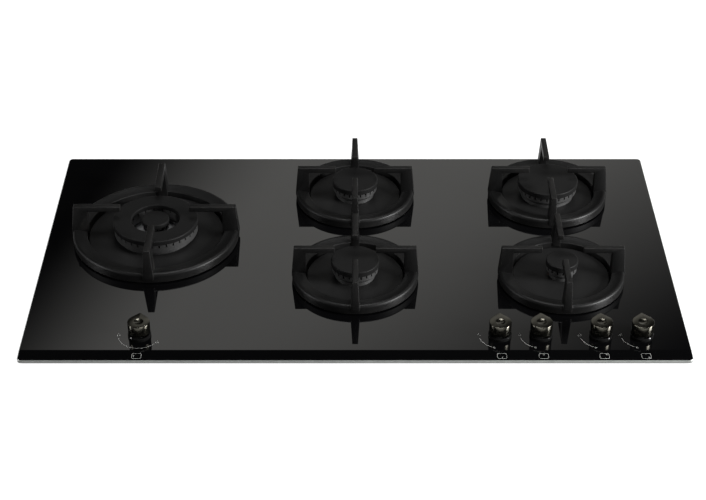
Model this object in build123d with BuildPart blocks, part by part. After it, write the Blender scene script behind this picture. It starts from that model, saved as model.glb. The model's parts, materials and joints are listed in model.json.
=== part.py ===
from build123d import *
import os

# A 90 cm gas-on-glass cooktop with five burners, in its own frame: X to the right, Y to the back,
# Z up, millimetres. The origin is in the middle of the underside of the burner box.

# Glass plate
glass_w = 900.0
glass_d = 510.0
glass_t = 6.0
glass_corner_r = 6.0
bevel_run = 21.0        # depth of the sloping front border
bevel_drop = 2.0        # how far it falls to the front edge
arris = 1.0             # broken edge on the other three sides

# Burner box under the glass, and the seal round it
box_h = 50.0            # floor to the underside of the glass
box_inset_x = 33.0      # glass beyond the box wall, left and right
box_inset_y = 24.0      # glass beyond the box wall, front and back
box_corner_r = 14.0
box_flange = 9.0
sheet = 1.0
notch_w = 72.0          # corner left out of the box for the gas inlet
notch_d = 41.0
vent_l = 34.0
vent_w = 5.0
seal_t = 2.0
seal_w = 8.0
seal_inset = 4.0

# Places of the burners and knobs
end_inset = 158.5       # middles of the outer burners from the ends of the glass
rear_inset = glass_d * 111 / 510    # middles of the rear burners from the back edge, a share of the depth
row_gap = glass_d * 212 / 510       # and between the two rows
knob_inset = 53.0       # knobs from the front edge
wok_x = end_inset - glass_w / 2
centre_x = 0.0
right_x = glass_w / 2 - end_inset
rear_y = glass_d / 2 - rear_inset
front_y = rear_y - row_gap
wok_y = (rear_y + front_y) / 2
knob_y = knob_inset - glass_d / 2
knob_inner_offset = 40.5    # from the middle of the right burners to the nearer knobs
knob_outer_offset = 96.0    # and to the farther ones

# Burner heads
semi_rapid_cap_r = 34.0
rapid_cap_r = 45.0
auxiliary_cap_r = 22.6
wok_cap_r = 62.0
wok_cap_bore = 35.0
wok_inner_cap_r = 20.0
cap_t = 8.0
cap_edge_r = 1.5
wok_cap_sink = 1.0      # the wok caps are thinner than the others
crown_top = 24.0        # above the glass
cap_lip = 1.5           # cap beyond the crown wall
head_flare = 6.0        # cap beyond the foot of the crown
flare_bottom = 10.0
flare_top = 15.5
wok_flare_bottom = 6.0
wok_flare_top = 10.0
crown_wall = 4.5
crown_floor = 3.0
crown_skirt_t = 2.0     # skirt of the crown inside the cup rim
crown_skirt_drop = 4.0  # and below the glass top
wok_skirt_drop = 3.0
chamber_step = 1.0      # gas chamber above the flare
tube_gap = 4.0          # mixing tube below the cap
wok_tube_gap = 1.0      # mixing tubes of the wok crown inside its skirts
wok_bore_flare = 4.0    # flare of the wok crown inside its bore
cap_rim_t = 2.0         # centring rim under a cap, wide and deep
port_w = 2.0
port_h = 5.5
port_overrun = 1.0
venturi_r = 6.5
venturi_wall = 1.5
venturi_drop = 14.0     # mixing tube below the glass top

# Burner cups, plates and gaskets
rim_h = 3.0             # cup rim above the glass
cup_wall = 2.5
rim_seat = 1.5          # overlap of the crown foot on the cup rim
cup_drop = 42.0         # underside of the cup below the glass top
cup_floor = 4.0
cup_slope_w = 6.0       # slope between the floor and the wall, outside
cup_slope_h = 10.0
cup_slope_in = 5.0      # and inside
wok_slope_w = 8.0
wok_slope_h = 12.0
wok_slope_in = 3.0
collar_slope = 3.0
socket_l = 8.0          # pipe socket beyond the bowl
wok_socket_in = 4.0     # pipe sockets of the wok cup inside its bowl
wok_wall_t = 1.0        # cup wall inside the channel, beyond the foot of the crown
inlet_drop = 32.0       # gas inlet of the cup below the glass top
collar_drop = 9.0
gasket_t = 0.5
flange_lip = 5.5
glass_hole_gap = 1.0
plate_r = 68.5
wok_plate_r = 98.5
plate_t = 2.0
plate_bevel = 1.2
plate_gap = 0.6         # between the plate and the foot of the crown
fit = 0.05              # radial running fit of shafts, plugs and pins
ease = 0.3              # gap at lift-off seats

# Electrodes and thermocouples, beside each crown
probe_offset = 7.0      # from the foot of the crown
ceramic_r = 2.5
ceramic_top = 12.0
tip_r = 0.9
tip_top = 20.5
thermocouple_r = 2.0
thermocouple_top = 18.5
probe_drop = 22.0
electrode_angle = 60.0
thermocouple_angle = 120.0
probe_hole_gap = 0.4
electrode_pin_r = 1.2
electrode_pin_l = 6.0
thermocouple_pin_l = 8.0
thermocouple_tip = 1.0  # its chamfered end

# Pan supports
support_top = 53.0      # above the glass
arm_h = 8.0
foot_h = 1.5
foot_r = 5.0
foot_stem_r = 2.2
foot_stem_h = 4.0
support_edge = 0.8      # broken top edges of the blades
ring_shoulder = 9.5     # outer wall of the ring
ring_crown = 2.0        # bulge of its sloping top
ring_inner_r = 70.0
ring_outer_r = 89.0
ring_top = 14.0
blade_top_r = 86.0
blade_base_r = 89.5
post_inner_r = 69.0
arm_tip_r = 29.0
blade_top_t = 8.0
blade_base_t = 12.0
wok_ring_inner_r = 100.0
wok_ring_outer_r = 121.0
wok_ring_top = 16.0
wok_blade_top_r = 118.0
wok_blade_base_r = 122.0
wok_post_inner_r = 98.0
wok_arm_tip_r = 50.0
wok_blade_top_t = 9.4
wok_blade_base_t = 15.0

# Knobs and bezels
knob_r = 15.0
knob_h = 13.5
knob_gap = 9.0          # underside of the knob above the glass
knob_edge = 0.8
knob_skirt = 2.0
knob_hollow = 4.0
dimple_r = 7.5
dimple_depth = 1.2
nose_reach = 4.5        # pointer beyond the rim
nose_rise = 1.5         # and above the top
nose_root_w = 10.0
nose_tip_w = 6.0
nose_h = 7.0
bezel_r = 15.8
bezel_h = 4.5
bezel_lip = 2.2
bezel_floor = 1.5
spindle_hole_r = 9.0    # in the glass

# Taps
tap_drop = 12.0         # bonnet seat below the glass
tap_r = 13.0
tap_h = 30.0
bonnet_w = 38.0
bonnet_d = 27.0
bonnet_t = 3.0
tap_neck_r = 6.5
tap_neck_h = 5.0
magnet_r = 7.0
magnet_l = 15.0
magnet_drop = 20.0
spindle_r = 4.0
spindle_flat = 2.8      # from the axis to the flat of the shaft
spindle_top = 19.0      # above the glass
collar_r = 6.0
collar_t = 2.0
chamber_r = 8.0
chamber_h = 8.0
plug_h = 18.0
plug_top_r = 7.5
plug_bottom_r = 5.5
slot_w = 3.0
slot_depth = 9.7
tongue_drop = 14.0
gas_way_r = 2.0
wok_outlet_offset = 14.0    # the two outlets of the wok tap, each side of its axis
outlet_r = 6.0
outlet_l = 9.0
outlet_drop = 4.0
screw_r = 2.0
screw_head_r = 3.5
screw_head_h = 2.5
screw_l = 6.0
screw_offset = 10.5
switch_w = 9.0
switch_d = 12.0
switch_h = 5.0
switch_button_r = 1.5
switch_button_h = 1.0
switch_button_shift = 2.0

# Gas rail, pipes and inlet
rail_w = 15.0
rail_wall = 1.5
rail_corner_r = 1.5
rail_reach = 11.0       # from the tap to the rail
rail_lift = 4.5         # rail above the floor of the box
rail_end = 14.5         # rail beyond the end taps
pipe_r = 4.0
pipe_wall = 1.0
pipe_bend_r = 10.0
pipe_inset = 8.0        # pipe inside its sockets
pipe_step = 15.0        # each stretch of a pipe behind the rail
pipe_lane = 4.0         # between pipes side by side, in pipe radii
pipe_clear = 5.0        # from a pipe to a cup, in pipe radii
fall_start = 34.0       # where the nearest pipe slopes down, before its socket
fall_end = 18.0
supply_r = 7.0
supply_wall = 1.2
supply_bend_r = 30.0
supply_inset = 37.0     # supply pipe from the end wall of the box
supply_run = 35.0       # its level stretch from the rail
supply_slope = 40.0     # and the stretch that climbs to the inlet
elbow_r = 11.0
elbow_socket = 2.0      # elbow's ends beyond its ball
elbow_neck = 1.0
inlet_thread_r = 10.4   # half-inch gas thread
inlet_thread_l = 16.0
inlet_floor_gap = 4.0
inlet_bore_r = 7.5
injector_r = 3.9
injector_h = 14.0
injector_hex_h = 4.0
injector_hex_gap = 1.0  # corners of the hexagon beyond the thread
injector_bore_r = 1.0

# Brackets, clamps and electrics
bracket_t = 1.5
bracket_w = 24.0
bracket_foot = 12.0
saddle_w = 24.0
clamp_w = 20.0
clamp_t = 1.5
clamp_reach = 26.0
clamp_h = 24.0
clamp_y = 140.0
clamp_screw_share = 0.6 # height of its screw, as a share of the clamp
worktop_t = 30.0        # the worktop that the clamps are set for
module_w = 70.0
module_d = 46.0
module_h = 28.0
module_x = -120.0
module_y = 110.0
module_edge_r = 3.0
module_ear = 12.0       # its fixing strip beyond each end
module_ear_t = 3.0
lead_post_r = 3.0       # posts of the spark leads
lead_post_h = 4.0
terminal_w = 50.0
terminal_d = 24.0
terminal_h = 22.0
terminal_inset = 87.0   # terminal block from the end wall of the box
gland_r = 8.0
gland_l = 5.0
gland_wall = 4.0

# Levels and places that follow from the sizes
glass_top = box_h + glass_t
tap_z = box_h - tap_drop
rail_z = sheet + rail_lift + rail_w / 2
rail_y = knob_y + tap_r + rail_reach + rail_w / 2
tap_pipe_z = tap_z - outlet_drop
cup_pipe_z = glass_top - inlet_drop
cup_bottom_z = glass_top - cup_drop
box_half_w = glass_w / 2 - box_inset_x
box_half_d = glass_d / 2 - box_inset_y
seal_bottom_z = box_h - seal_t
supply_x = box_half_w - supply_inset
terminal_x = terminal_inset - box_half_w


class Burner:
    """A burner's place and the radii that follow from its cap."""

    def __init__(self, name, x, y, cap_r):
        self.name = name
        self.x = x
        self.y = y
        self.cap_r = cap_r
        self.wall_r = cap_r - cap_lip
        self.foot_r = cap_r - head_flare
        self.well_r = self.foot_r - rim_seat
        self.probe_r = self.foot_r + probe_offset
        self.collar_r = self.probe_r + ceramic_r + cup_wall
        self.flange_r = self.collar_r + flange_lip
        self.glass_hole_r = self.collar_r + glass_hole_gap


class Support:
    """A pan support's place and size."""

    def __init__(self, name, x, y, wok=False):
        self.name = name
        self.x = x
        self.y = y
        self.inner_r = wok_ring_inner_r if wok else ring_inner_r
        self.outer_r = wok_ring_outer_r if wok else ring_outer_r
        self.top = wok_ring_top if wok else ring_top
        self.blade_top_r = wok_blade_top_r if wok else blade_top_r
        self.blade_base_r = wok_blade_base_r if wok else blade_base_r
        self.post_r = wok_post_inner_r if wok else post_inner_r
        self.tip_r = wok_arm_tip_r if wok else arm_tip_r
        self.top_t = wok_blade_top_t if wok else blade_top_t
        self.base_t = wok_blade_base_t if wok else blade_base_t


wok = Burner("wok", wok_x, wok_y, wok_cap_r)
wok_inner = Burner("wok_inner", wok_x, wok_y, wok_inner_cap_r)
small_burners = [
    Burner("centre_rear", centre_x, rear_y, semi_rapid_cap_r),
    Burner("centre_front", centre_x, front_y, semi_rapid_cap_r),
    Burner("right_rear", right_x, rear_y, rapid_cap_r),
    Burner("right_front", right_x, front_y, auxiliary_cap_r),
]
centre_rear, centre_front, right_rear, right_front = small_burners
burners = [wok] + small_burners
supports = [Support("wok", wok_x, wok_y, wok=True)]
supports += [Support(b.name, b.x, b.y) for b in small_burners]
knob_x = {
    "wok": wok_x,
    "centre_front": right_x - knob_outer_offset,
    "centre_rear": right_x - knob_inner_offset,
    "right_rear": right_x + knob_inner_offset,
    "right_front": right_x + knob_outer_offset,
}
os.makedirs("parts", exist_ok=True)


def save(piece, name):
    """Label a finished piece and write it to its own file."""
    piece.part.label = name
    export_step(piece.part, f"parts/{name}.step")


def upright(x, y, z=0.0):
    """The upright plane through a point, with X to the right and Y up."""
    return Plane(origin=(x, y, z), x_dir=(1, 0, 0), z_dir=(0, -1, 0))


def turned(x, y, z, points, mode=Mode.ADD):
    """Turn a closed outline of (radius, height) points about the upright axis at x, y."""
    with BuildSketch(upright(x, y, z)) as outline:
        with BuildLine():
            Polyline(*points, close=True)
        make_face()
    revolve(outline.sketch, axis=Axis((x, y, z), (0, 0, 1)), mode=mode)


def disc(x, y, z, r, h, mode=Mode.ADD):
    """An upright cylinder whose lower face is at z."""
    with BuildSketch(Plane((x, y, z))) as outline:
        Circle(r)
    extrude(outline.sketch, amount=h, mode=mode)


def rod_y(x, y, z, r, length, mode=Mode.ADD):
    """A cylinder that runs from y towards the back."""
    with BuildSketch(Plane(origin=(x, y, z), x_dir=(1, 0, 0), z_dir=(0, 1, 0))) as outline:
        Circle(r)
    extrude(outline.sketch, amount=length, mode=mode)


def block(x, y, z, w, d, h, mode=Mode.ADD):
    """A box centred at x, y whose lower face is at z."""
    with BuildSketch(Plane((x, y, z))) as outline:
        Rectangle(w, d)
    extrude(outline.sketch, amount=h, mode=mode)


def around(burner, angle):
    """A point beside a burner's crown, where an electrode or a thermocouple stands."""
    spot = Vector(burner.probe_r, 0, 0).rotate(Axis.Z, angle)
    return burner.x + spot.X, burner.y + spot.Y


# --- Glass ---------------------------------------------------------------------------------------
def make_glass():
    with BuildPart() as glass:
        with BuildSketch(Plane.XY.offset(box_h)):
            RectangleRounded(glass_w, glass_d, glass_corner_r)
            for b in burners:
                with Locations((b.x, b.y)):
                    Circle(b.glass_hole_r, mode=Mode.SUBTRACT)
            for x in knob_x.values():
                with Locations((x, knob_y)):
                    Circle(spindle_hole_r, mode=Mode.SUBTRACT)
        extrude(amount=glass_t)
        bevel_y = -glass_d / 2 + bevel_run
        fall = bevel_drop * (bevel_run + 1) / bevel_run
        with BuildSketch(Plane.YZ):
            Polygon(
                (bevel_y, glass_top),
                (-glass_d / 2 - 1, glass_top - fall),
                (-glass_d / 2 - 1, glass_top + 1),
                (bevel_y, glass_top + 1),
                align=None,
            )
        extrude(amount=glass_w, both=True, mode=Mode.SUBTRACT)
        top_edges = glass.faces().sort_by(Axis.Z)[-1].outer_wire().edges()
        chamfer([e for e in top_edges if abs(e.center().Y - bevel_y) > 0.1], arris)
    save(glass, "glass_panel")


# --- Seal and burner box ---------------------------------------------------------------------------
def make_seal():
    with BuildPart() as seal:
        with BuildSketch(Plane.XY.offset(seal_bottom_z)):
            outer = RectangleRounded(glass_w - 2 * seal_inset, glass_d - 2 * seal_inset, glass_corner_r)
            offset(outer, amount=-seal_w, kind=Kind.INTERSECTION, mode=Mode.SUBTRACT)
        extrude(amount=seal_t)
    save(seal, "worktop_seal")


def box_outline(grow, level):
    """The burner box seen from above, with its corner notch, grown outwards by a distance."""
    w = box_half_w + grow
    d = box_half_d + grow
    notch_x = box_half_w - notch_w + grow
    notch_y = box_half_d - notch_d + grow
    with BuildSketch(Plane.XY.offset(level)) as outline:
        Polygon((-w, -d), (w, -d), (w, notch_y), (notch_x, notch_y), (notch_x, d), (-w, d), align=None)
        corners = outline.vertices()
        hollow = [v for v in corners if abs(v.X - notch_x) < 0.1 and abs(v.Y - notch_y) < 0.1]
        fillet(hollow, box_corner_r - grow)
        fillet([v for v in corners if v not in hollow], box_corner_r + grow)
    return outline.sketch


def make_box():
    with BuildPart() as box:
        extrude(box_outline(0, 0), amount=box_h)
        extrude(box_outline(box_flange, box_h - sheet), amount=sheet)
        extrude(box_outline(-sheet, sheet), amount=box_h, mode=Mode.SUBTRACT)
        # Vents in the floor behind the taps, the bulkhead hole, the gland hole and the clamp holes
        with BuildSketch(Plane.XY):
            with Locations((0, (front_y + knob_y) / 2 + 2 * vent_w)):
                with GridLocations(2.4 * vent_l, 3 * vent_w, 7, 1):
                    SlotOverall(vent_l, vent_w)
        extrude(amount=sheet, mode=Mode.SUBTRACT)
        rod_y(supply_x, box_half_d - notch_d - 2 * sheet, elbow_z(), supply_r + ease, 3 * sheet, Mode.SUBTRACT)
        rod_y(terminal_x, box_half_d - 2 * sheet, gland_z(), gland_r + fit, 3 * sheet, Mode.SUBTRACT)
        for side in (-1, 1):
            for y in (-clamp_y, clamp_y):
                with Locations(Location((side * box_half_w, y, screw_z()), (0, 90, 0))):
                    Cylinder(screw_r + fit, 4 * sheet, mode=Mode.SUBTRACT)
    save(box, "burner_box")


# --- Burners -----------------------------------------------------------------------------------------
def cup_body(b):
    """The die-cast cup of a small burner: a bowl, a collar through the glass and a flange on it."""
    bowl_r = b.well_r + cup_wall
    turned(b.x, b.y, glass_top, [
        (0, -cup_drop),
        (bowl_r - cup_slope_w, -cup_drop),
        (bowl_r, -cup_drop + cup_slope_h),
        (bowl_r, -collar_drop - collar_slope),
        (b.collar_r, -collar_drop),
        (b.collar_r, gasket_t),
        (b.flange_r, gasket_t),
        (b.flange_r, rim_h),
        (b.well_r, rim_h),
        (b.well_r, -cup_drop + cup_slope_h + cup_floor),
        (b.well_r - cup_slope_in, -cup_drop + cup_floor),
        (0, -cup_drop + cup_floor),
    ])
    socket_y = b.y - bowl_r - socket_l
    rod_y(b.x, socket_y, cup_pipe_z, outlet_r, socket_l + cup_wall)
    injector_seat(b.x, b.y)
    rod_y(b.x, socket_y, cup_pipe_z, pipe_r + fit, pipe_inset, Mode.SUBTRACT)
    probe_holes(b)


def injector_seat(x, y):
    """The boss in a cup that holds an injector."""
    seat_z = cup_bottom_z + cup_floor
    disc(x, y, seat_z, injector_r + cup_wall, injector_h - injector_hex_h)
    disc(x, y, seat_z, injector_r + fit, injector_h, Mode.SUBTRACT)


def probe_holes(b):
    for angle, r in ((electrode_angle, ceramic_r), (thermocouple_angle, thermocouple_r)):
        x, y = around(b, angle)
        disc(x, y, glass_top - 2 * collar_drop, r + fit, 3 * collar_drop, Mode.SUBTRACT)


def wok_channel():
    """Radii of the ring channel of the wok cup: inner wall, inner well, outer well."""
    inner_foot = wok_cap_bore + wok_bore_flare
    return inner_foot - wok_wall_t, inner_foot + rim_seat, wok.well_r


def make_cups():
    with BuildPart() as cups:
        for b in small_burners:
            cup_body(b)
    save(cups, "burner_cups")
    wall_r, inner_well, outer_well = wok_channel()
    with BuildPart() as wok_cup:
        bowl_r = outer_well + cup_wall
        post_r = wok_inner.well_r + cup_wall
        turned(wok.x, wok.y, glass_top, [
            (0, -cup_drop),
            (bowl_r - wok_slope_w, -cup_drop),
            (bowl_r, -cup_drop + wok_slope_h),
            (bowl_r, -collar_drop - collar_slope),
            (wok.collar_r, -collar_drop),
            (wok.collar_r, gasket_t),
            (wok.flange_r, gasket_t),
            (wok.flange_r, rim_h),
            (outer_well, rim_h),
            (outer_well, -cup_drop + cup_slope_h + cup_floor),
            (outer_well - wok_slope_in, -cup_drop + cup_floor),
            (inner_well, -cup_drop + cup_floor),
            (inner_well, rim_h),
            (wall_r, rim_h),
            (wall_r, rim_h - cup_wall),
            (post_r, rim_h - cup_wall),
            (post_r, rim_h),
            (wok_inner.well_r, rim_h),
            (wok_inner.well_r, -cup_drop + cup_floor),
            (0, -cup_drop + cup_floor),
        ])
        ring_r = (inner_well + outer_well) / 2
        for x in (wok.x - ring_r, wok.x, wok.x + ring_r):
            injector_seat(x, wok.y)
        socket_y = wok.y - bowl_r - socket_l
        for x in (wok.x - wok_outlet_offset, wok.x + wok_outlet_offset):
            rod_y(x, socket_y, cup_pipe_z, outlet_r, socket_l + wok_socket_in)
            rod_y(x, socket_y, cup_pipe_z, pipe_r + fit, pipe_inset, Mode.SUBTRACT)
        probe_holes(wok)
    save(wok_cup, "wok_burner_cup")


def make_injectors():
    wall_r, inner_well, outer_well = wok_channel()
    ring_r = (inner_well + outer_well) / 2
    spots = [(b.x, b.y) for b in burners] + [(wok.x - ring_r, wok.y), (wok.x + ring_r, wok.y)]
    with BuildPart() as injectors:
        for x, y in spots:
            z = cup_bottom_z + cup_floor
            hex_z = z + injector_h - injector_hex_h
            disc(x, y, z, injector_r, injector_h - injector_hex_h)
            with BuildSketch(Plane((x, y, hex_z))) as hexagon:
                RegularPolygon(injector_r + injector_hex_gap, 6)
            extrude(hexagon.sketch, amount=injector_hex_h)
            disc(x, y, hex_z, injector_bore_r, injector_hex_h, Mode.SUBTRACT)
    save(injectors, "injectors")


def make_gaskets():
    with BuildPart() as gaskets:
        for b in burners:
            with BuildSketch(Plane((b.x, b.y, glass_top))) as ring:
                Circle(b.flange_r)
                Circle(b.glass_hole_r, mode=Mode.SUBTRACT)
            extrude(ring.sketch, amount=gasket_t)
    save(gaskets, "burner_gaskets")


def plate(b, outer_r):
    """The enamelled plate round a burner: a shallow dish upside down, with holes for the probes."""
    inner_r = b.foot_r + plate_gap
    top = rim_h + plate_t
    turned(b.x, b.y, glass_top, [
        (inner_r, rim_h),
        (outer_r - plate_t, rim_h),
        (outer_r - plate_t, 0),
        (outer_r, 0),
        (outer_r, top - plate_bevel),
        (outer_r - plate_bevel, top),
        (inner_r, top),
    ])
    for angle, r in ((electrode_angle, ceramic_r), (thermocouple_angle, thermocouple_r)):
        x, y = around(b, angle)
        disc(x, y, glass_top, r + probe_hole_gap, 2 * top, Mode.SUBTRACT)


def make_plates():
    with BuildPart() as plates:
        for b in small_burners:
            plate(b, plate_r)
    save(plates, "spill_plates")
    with BuildPart() as wok_plate:
        plate(wok, wok_plate_r)
    save(wok_plate, "wok_spill_plate")


def ports(x, y, radius, count):
    """Flame ports: slots down from the top of a crown's wall, which the cap closes."""
    with Locations((x, y, glass_top + crown_top - port_h / 2)):
        with PolarLocations(radius - crown_wall / 2, count):
            Box(crown_wall + 2 * port_overrun, port_w, port_h, mode=Mode.SUBTRACT)


def crown(b, count):
    """A small burner's flame spreader: a hollow flared drum with a mixing tube down its middle."""
    skirt_r = b.well_r - ease
    chamber_r = b.wall_r - crown_wall
    tube_r = min(venturi_r + venturi_wall, skirt_r - 2 * crown_skirt_t)
    bore_r = tube_r - venturi_wall
    with BuildPart() as piece:
        turned(b.x, b.y, glass_top, [
            (skirt_r - crown_skirt_t, -crown_skirt_drop),
            (skirt_r, -crown_skirt_drop),
            (skirt_r, rim_h),
            (b.foot_r, rim_h),
            (b.foot_r, flare_bottom),
            (b.wall_r, flare_top),
            (b.wall_r, crown_top),
            (chamber_r, crown_top),
            (chamber_r, flare_top + chamber_step),
            (tube_r, flare_bottom + crown_floor),
            (tube_r, crown_top - tube_gap),
            (bore_r, crown_top - tube_gap),
            (bore_r, -venturi_drop),
            (tube_r, -venturi_drop),
            (tube_r, flare_bottom - crown_floor),
            (skirt_r - crown_skirt_t, flare_bottom - crown_floor),
        ])
        ports(b.x, b.y, b.wall_r, count)
    save(piece, f"{b.name}_crown")


def make_wok_ring_crown():
    wall_r, inner_well, outer_well = wok_channel()
    inner_foot = inner_well - rim_seat
    inner_wall = wok_cap_bore + cap_lip
    inner_skirt = inner_well + ease
    outer_skirt = outer_well - ease
    ring_r = (inner_well + outer_well) / 2
    with BuildPart() as piece:
        turned(wok.x, wok.y, glass_top, [
            (wok.foot_r, rim_h),
            (wok.foot_r, wok_flare_bottom),
            (wok.wall_r, wok_flare_top),
            (wok.wall_r, crown_top),
            (wok.wall_r - crown_wall, crown_top),
            (wok.wall_r - crown_wall, wok_flare_top + crown_floor),
            (inner_wall + crown_wall, wok_flare_top + crown_floor),
            (inner_wall + crown_wall, crown_top),
            (inner_wall, crown_top),
            (inner_wall, wok_flare_top),
            (inner_foot, wok_flare_bottom),
            (inner_foot, rim_h),
            (inner_skirt, rim_h),
            (inner_skirt, -wok_skirt_drop),
            (inner_skirt + crown_skirt_t, -wok_skirt_drop),
            (inner_skirt + crown_skirt_t, wok_flare_top - crown_skirt_t),
            (outer_skirt - crown_skirt_t, wok_flare_top - crown_skirt_t),
            (outer_skirt - crown_skirt_t, -wok_skirt_drop),
            (outer_skirt, -wok_skirt_drop),
            (outer_skirt, rim_h),
        ])
        bore_r = (outer_skirt - inner_skirt) / 2 - venturi_wall - wok_tube_gap
        for x in (wok.x - ring_r, wok.x + ring_r):
            disc(x, wok.y, glass_top - venturi_drop, bore_r + venturi_wall, venturi_drop + wok_flare_top)
            disc(x, wok.y, glass_top - venturi_drop, bore_r, venturi_drop + crown_top, Mode.SUBTRACT)
        ports(wok.x, wok.y, wok.wall_r, 36)
        ports(wok.x, wok.y, inner_wall + crown_wall, 18)
    save(piece, "wok_ring_crown")


def cap(b, top, bore_r=0.0):
    """A cap with a rounded edge and a rim beneath that centres it in the crown."""
    seat_r = b.wall_r - crown_wall - ease
    with BuildPart() as piece:
        with BuildSketch(Plane((b.x, b.y, glass_top + crown_top))) as outline:
            Circle(b.cap_r)
            if bore_r:
                Circle(bore_r, mode=Mode.SUBTRACT)
        extrude(outline.sketch, amount=top - crown_top)
        fillet(piece.faces().sort_by(Axis.Z)[-1].edges(), cap_edge_r)
        with BuildSketch(Plane((b.x, b.y, glass_top + crown_top))) as rim:
            Circle(seat_r)
            Circle(seat_r - cap_rim_t, mode=Mode.SUBTRACT)
        extrude(rim.sketch, amount=-cap_rim_t)
    return piece


def make_heads():
    for b, count in zip(small_burners, (24, 24, 30, 16)):
        crown(b, count)
        save(cap(b, crown_top + cap_t), f"{b.name}_cap")
    make_wok_ring_crown()
    crown(wok_inner, 14)
    top = crown_top + cap_t - wok_cap_sink
    save(cap(wok, top, wok_cap_bore), "wok_ring_cap")
    save(cap(wok_inner, top), "wok_inner_cap")


def make_probes():
    with BuildPart() as electrodes:
        for b in burners:
            x, y = around(b, electrode_angle)
            turned(x, y, glass_top, [
                (0, -probe_drop - electrode_pin_l),
                (electrode_pin_r, -probe_drop - electrode_pin_l),
                (electrode_pin_r, -probe_drop),
                (ceramic_r, -probe_drop),
                (ceramic_r, ceramic_top),
                (tip_r, ceramic_top),
                (tip_r, tip_top),
                (0, tip_top),
            ])
    save(electrodes, "spark_electrodes")
    with BuildPart() as thermocouples:
        for b in burners:
            x, y = around(b, thermocouple_angle)
            turned(x, y, glass_top, [
                (0, -probe_drop - thermocouple_pin_l / 2),
                (thermocouple_r / 2, -probe_drop - thermocouple_pin_l / 2),
                (thermocouple_r / 2, -probe_drop + thermocouple_pin_l / 2),
                (thermocouple_r, -probe_drop + thermocouple_pin_l / 2),
                (thermocouple_r, thermocouple_top - thermocouple_tip),
                (thermocouple_r - thermocouple_tip, thermocouple_top),
                (0, thermocouple_top),
            ])
    save(thermocouples, "thermocouples")


# --- Pan supports --------------------------------------------------------------------------------------
def pan_support(s):
    """A low cast ring with four upright blades, each an upside-down L that tapers upwards."""
    with BuildPart() as piece:
        with BuildSketch(upright(s.x, s.y, glass_top)) as outline:
            with BuildLine():
                Polyline((s.outer_r, ring_shoulder), (s.outer_r, foot_h), (s.inner_r, foot_h), (s.inner_r, s.top))
                middle = ((s.inner_r + s.outer_r) / 2, (s.top + ring_shoulder) / 2 + ring_crown)
                ThreePointArc((s.inner_r, s.top), middle, (s.outer_r, ring_shoulder))
            make_face()
        revolve(outline.sketch, axis=Axis((s.x, s.y, 0), (0, 0, 1)))
        for angle in (0, 90, 180, 270):
            add(blade(s).rotate(Axis((s.x, s.y, 0), (0, 0, 1)), angle))
        for x, y in foot_spots(s):
            disc(x, y, glass_top + foot_h, foot_stem_r + fit, foot_stem_h, Mode.SUBTRACT)
    save(piece, f"{s.name}_pan_support")


def blade(s):
    """The blade that stands at the right of a ring."""
    root = rim_h + plate_t + foot_h
    with BuildPart() as piece:
        with BuildSketch(upright(s.x, s.y, glass_top)):
            Polygon(
                (s.blade_base_r, root),
                (s.blade_base_r, ring_shoulder),
                (s.blade_top_r, support_top),
                (s.tip_r, support_top),
                (s.tip_r, support_top - arm_h),
                (s.post_r, support_top - arm_h),
                (s.post_r, root),
                align=None,
            )
        extrude(amount=s.base_t, both=True)
        top = s.top_t / 2
        base = s.base_t / 2
        with BuildSketch(Plane(origin=(s.x, s.y, glass_top), x_dir=(0, 1, 0), z_dir=(1, 0, 0))):
            Polygon(
                (-base, 0),
                (base, 0),
                (base, s.top - 1),
                (top, support_top - support_edge),
                (top - support_edge, support_top),
                (support_edge - top, support_top),
                (-top, support_top - support_edge),
                (-base, s.top - 1),
                align=None,
            )
        extrude(amount=2 * s.outer_r, mode=Mode.INTERSECT)
    return piece.part


def foot_spots(s):
    """The four feet under a ring, midway between the blades."""
    middle_r = (s.inner_r + s.outer_r) / 2
    spots = [Vector(middle_r, 0, 0).rotate(Axis.Z, angle) for angle in (45, 135, 225, 315)]
    return [(s.x + v.X, s.y + v.Y) for v in spots]


def support_feet(s):
    with BuildPart() as feet:
        for x, y in foot_spots(s):
            disc(x, y, glass_top, foot_r, foot_h)
            disc(x, y, glass_top + foot_h, foot_stem_r, foot_stem_h - ease)
    save(feet, f"{s.name}_support_feet")


# --- Controls ------------------------------------------------------------------------------------------
def tap_body(x, outlets):
    """A tap: a drum with a cone bore, a bonnet, its magnet unit, a foot on the rail and outlets."""
    turned(x, knob_y, tap_z, [(0, -tap_h), (tap_r, -tap_h), (tap_r, 0), (0, 0)])
    block(x, knob_y, tap_z, bonnet_w, bonnet_d, bonnet_t)
    disc(x, knob_y, tap_z + bonnet_t, tap_neck_r, tap_neck_h)
    with BuildSketch(Plane(origin=(x, knob_y, tap_z - magnet_drop), x_dir=(0, 1, 0), z_dir=(1, 0, 0))) as magnet:
        Circle(magnet_r)
    extrude(magnet.sketch, amount=tap_r + magnet_l)
    foot_d = rail_y - rail_w / 2 - knob_y
    block(x, knob_y + foot_d / 2, rail_z - rail_w / 2, 2 * magnet_r, foot_d, rail_w)
    for side in outlets:
        rod_y(x + side, knob_y, tap_pipe_z, outlet_r, tap_r + outlet_l)
    cone_top = -chamber_h
    cone_bottom = cone_top - plug_h
    turned(x, knob_y, tap_z, [
        (0, cone_bottom - ease),
        (plug_bottom_r + fit, cone_bottom - ease),
        (plug_top_r + fit, cone_top),
        (chamber_r, cone_top),
        (chamber_r, 0),
        (spindle_r + fit, 0),
        (spindle_r + fit, bonnet_t + tap_neck_h),
        (0, bonnet_t + tap_neck_h),
    ], Mode.SUBTRACT)
    for side in outlets:
        socket_y = knob_y + tap_r + outlet_l - pipe_inset
        rod_y(x + side, socket_y, tap_pipe_z, pipe_r + fit, pipe_inset, Mode.SUBTRACT)
    for y in (knob_y - screw_offset, knob_y + screw_offset):
        disc(x, y, tap_z + bonnet_t - screw_l, screw_r + fit, screw_l, Mode.SUBTRACT)


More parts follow.
